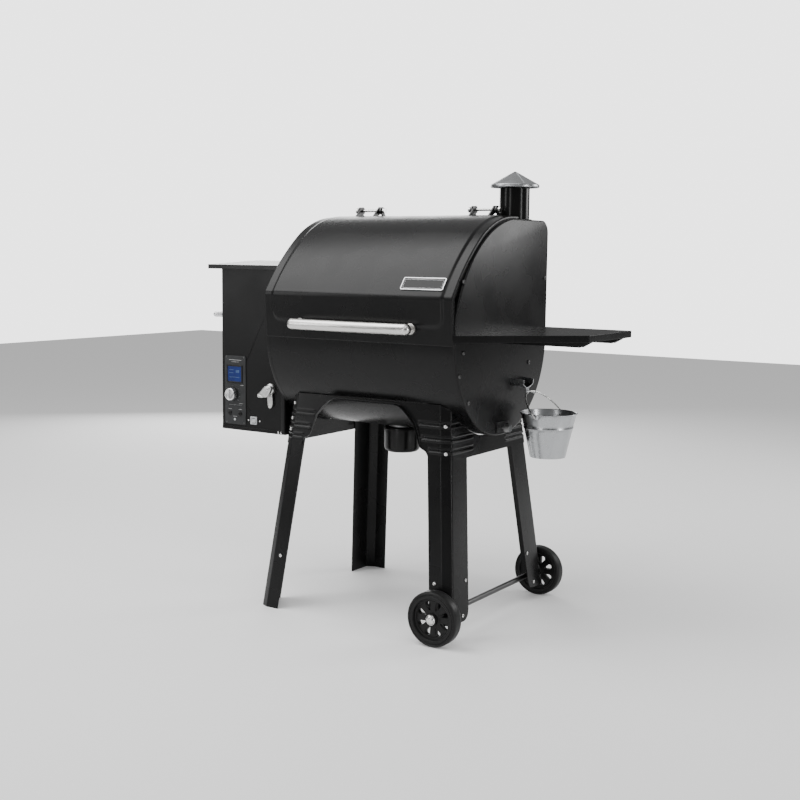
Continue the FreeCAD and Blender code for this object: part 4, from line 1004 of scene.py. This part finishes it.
def make_bucket():
    x, y = 411, 100
    rim = [(78 + 1.4 + 1.7 * math.sin(t), 592.1 + 1.7 * -math.cos(t))
           for t in (math.radians(a) for a in range(0, 300, 25))]
    outer = [(47, 471), (47, 467), (50, 467), (50.3, 468.5)]
    for z in range(470, 545, 12):
        outer.append((pail_radius(z), float(z)))
    outer += [(pail_radius(547), 547.0), (pail_radius(549) + 1.3, 549.0), (pail_radius(551) + 1.7, 551.0),
              (pail_radius(553) + 1.3, 553.0), (pail_radius(555), 555.0)]
    for z in (563, 571, 579, 587):
        outer.append((pail_radius(z), float(z)))
    inner = [(76.6, 592.0), (pail_radius(560) - 1.2, 560.0), (pail_radius(510) - 1.2, 510.0),
             (49.2, 473.0), (0, 472.2)]
    profile = [(0.0, 471.0)] + outer + rim + inner
    pail = lathe("pail", mm(profile), row(x, y, 0), (0, 0, 1), 96)
    ears = []
    for side in (-1, 1):
        lo, hi = sorted((y + side * 77.2, y + side * 83.2))
        ears.append(slab("ear", row(x - 8.5, lo, 579.5), row(x + 8.5, hi, 593.5), 1.6 * MM))
        ears.append(lathe("ear_boss", mm([(0, 0), (4.6, 0), (4.2, 0.5), (0, 0.7)]),
                          row(x, y + side * 83.0, 586), (0, side, 0), 24))
    seam = [row(x - pail_radius(z) * 0.42, y - pail_radius(z) * 0.908, z) for z in (469, 500, 530, 546)]
    ears.append(sweep("pail_seam", seam, 1.1 * MM, sides=8))
    finish_piece(join([pail] + ears, "pail_body"), "galvanised", "bucket", replaced=("grease_bucket",))


def make_chimney_cap():
    x, y, eaves, peak, reach = 262, 148, 1232, 1270, 70
    slope = (peak - eaves) / 67.5
    top = [(0, 1270.0), (2.0, 1269.7), (5.0, 1268.2)]
    top += [(r, eaves + (reach - r) * slope) for r in (16, 28, 40, 52, 62, 67)]
    rim = [(69.4, 1232.4), (70, 1231.2), (70, 1226.2), (69.6, 1224.8), (68.6, 1224.2), (67.6, 1224.8),
           (67.4, 1226.4)]
    under = [(67.4, 1230.4), (40, 1247.0), (4, 1266.0), (4, 1166.0), (0, 1165.2)]
    cone = lathe("cap_cone", mm(top + rim + under), row(x, y, 0), (0, 0, 1), 96)
    t = math.radians(-38)
    seam = [row(x + r * math.cos(t), y + r * math.sin(t), eaves + (reach - r) * slope) for r in (6, 30, 50, 66)]
    fold_line = sweep("cap_seam", seam, 0.8 * MM, sides=8)
    finish_piece(join([cone, fold_line], "cap_spun"), "galvanised", "draught_cap", replaced=("chimney_cap",))
    bead = [(41.6, 0), (43.2, 0), (43.8, 1.2), (43.2, 2.4), (41.6, 2.4)]
    lip = lathe("flue_lip", mm(bead), row(x, y, 1221.4), (0, 0, 1), 64)
    finish_piece(lip, "black_enamel")


# ---------------------------------------------------------------- light and floor
def make_stage():
    floor = add_mesh("floor", [(-9, -9, 0), (9, -9, 0), (9, 9, 0), (-9, 9, 0)], [(0, 1, 2, 3)], False)
    mat, _, shader = shader_of("floor_paper", (0.93, 0.93, 0.93), 0.9)
    shader.inputs["Emission Color"].default_value = (1, 1, 1, 1)
    shader.inputs["Emission Strength"].default_value = 0.1
    floor.data.materials.append(mat)
    world = bpy.data.worlds.new("studio")
    bpy.context.scene.world = world
    world.use_nodes = True
    tree = world.node_tree
    back = tree.nodes["Background"]
    spot = tree.nodes.new("ShaderNodeTexCoord")
    split = tree.nodes.new("ShaderNodeSeparateXYZ")
    tree.links.new(spot.outputs["Generated"], split.inputs["Vector"])
    sky = tree.nodes.new("ShaderNodeValToRGB")
    sky.color_ramp.elements[0].position = 0.0
    sky.color_ramp.elements[0].color = (0.12, 0.12, 0.12, 1)
    sky.color_ramp.elements[1].position = 0.75
    sky.color_ramp.elements[1].color = (0.6, 0.6, 0.6, 1)
    tree.links.new(split.outputs["Z"], sky.inputs["Fac"])
    eye = tree.nodes.new("ShaderNodeLightPath")
    mix = tree.nodes.new("ShaderNodeMix")
    mix.data_type = "RGBA"
    lit, seen = (socket for socket in mix.inputs if socket.type == "RGBA")
    mixed = next(socket for socket in mix.outputs if socket.type == "RGBA")
    seen.default_value = (3.2, 3.2, 3.2, 1)
    tree.links.new(sky.outputs["Color"], lit)
    tree.links.new(eye.outputs["Is Camera Ray"], mix.inputs["Factor"])
    tree.links.new(mixed, back.inputs["Color"])
    back.inputs["Strength"].default_value = 0.95
    for name, place, aim, width, height, power in (
        ("top_softbox", (-1.2, -0.9, 3.1), (0, -0.1, 1.0), 2.2, 2.2, 80),
        ("fill_softbox", (1.4, -1.6, 3.0), (0.1, 0, 0.8), 1.6, 1.6, 16),
        ("left_strip", (-2.4, -2.6, 1.6), (0, 0, 0.8), 0.7, 2.0, 22),
        ("front_strip", (-0.1, -3.5, 1.0), (0.2, 0, 0.7), 0.4, 1.8, 16),
        ("right_strip", (3.5, -0.3, 0.9), (0.3, 0, 0.6), 0.35, 1.7, 26),
        ("cap_softbox", (2.4, 2.9, 1.8), (0.3, 0, 1.0), 1.6, 1.2, 44),
        ("back_strip", (-2.9, 3.0, 1.6), (-0.2, 0, 1.0), 2.3, 2.3, 80),
    ):
        data = bpy.data.lights.new(name, "AREA")
        data.shape = "RECTANGLE"
        data.size = width
        data.size_y = height
        data.energy = power
        light = linked(name, data)
        light.location = place
        light.visible_camera = False
        light.rotation_euler = (Vector(aim) - Vector(place)).to_track_quat("-Z", "Y").to_euler()


make_camera()
dress_cad_nodes()
make_stage()
make_lid()
make_nameplate()
make_end_caps()
make_bolts()
make_wheels()
make_skirt()
make_legs()
make_controls()
make_opener()
make_handle()
make_cup()
make_bucket()
make_chimney_cap()
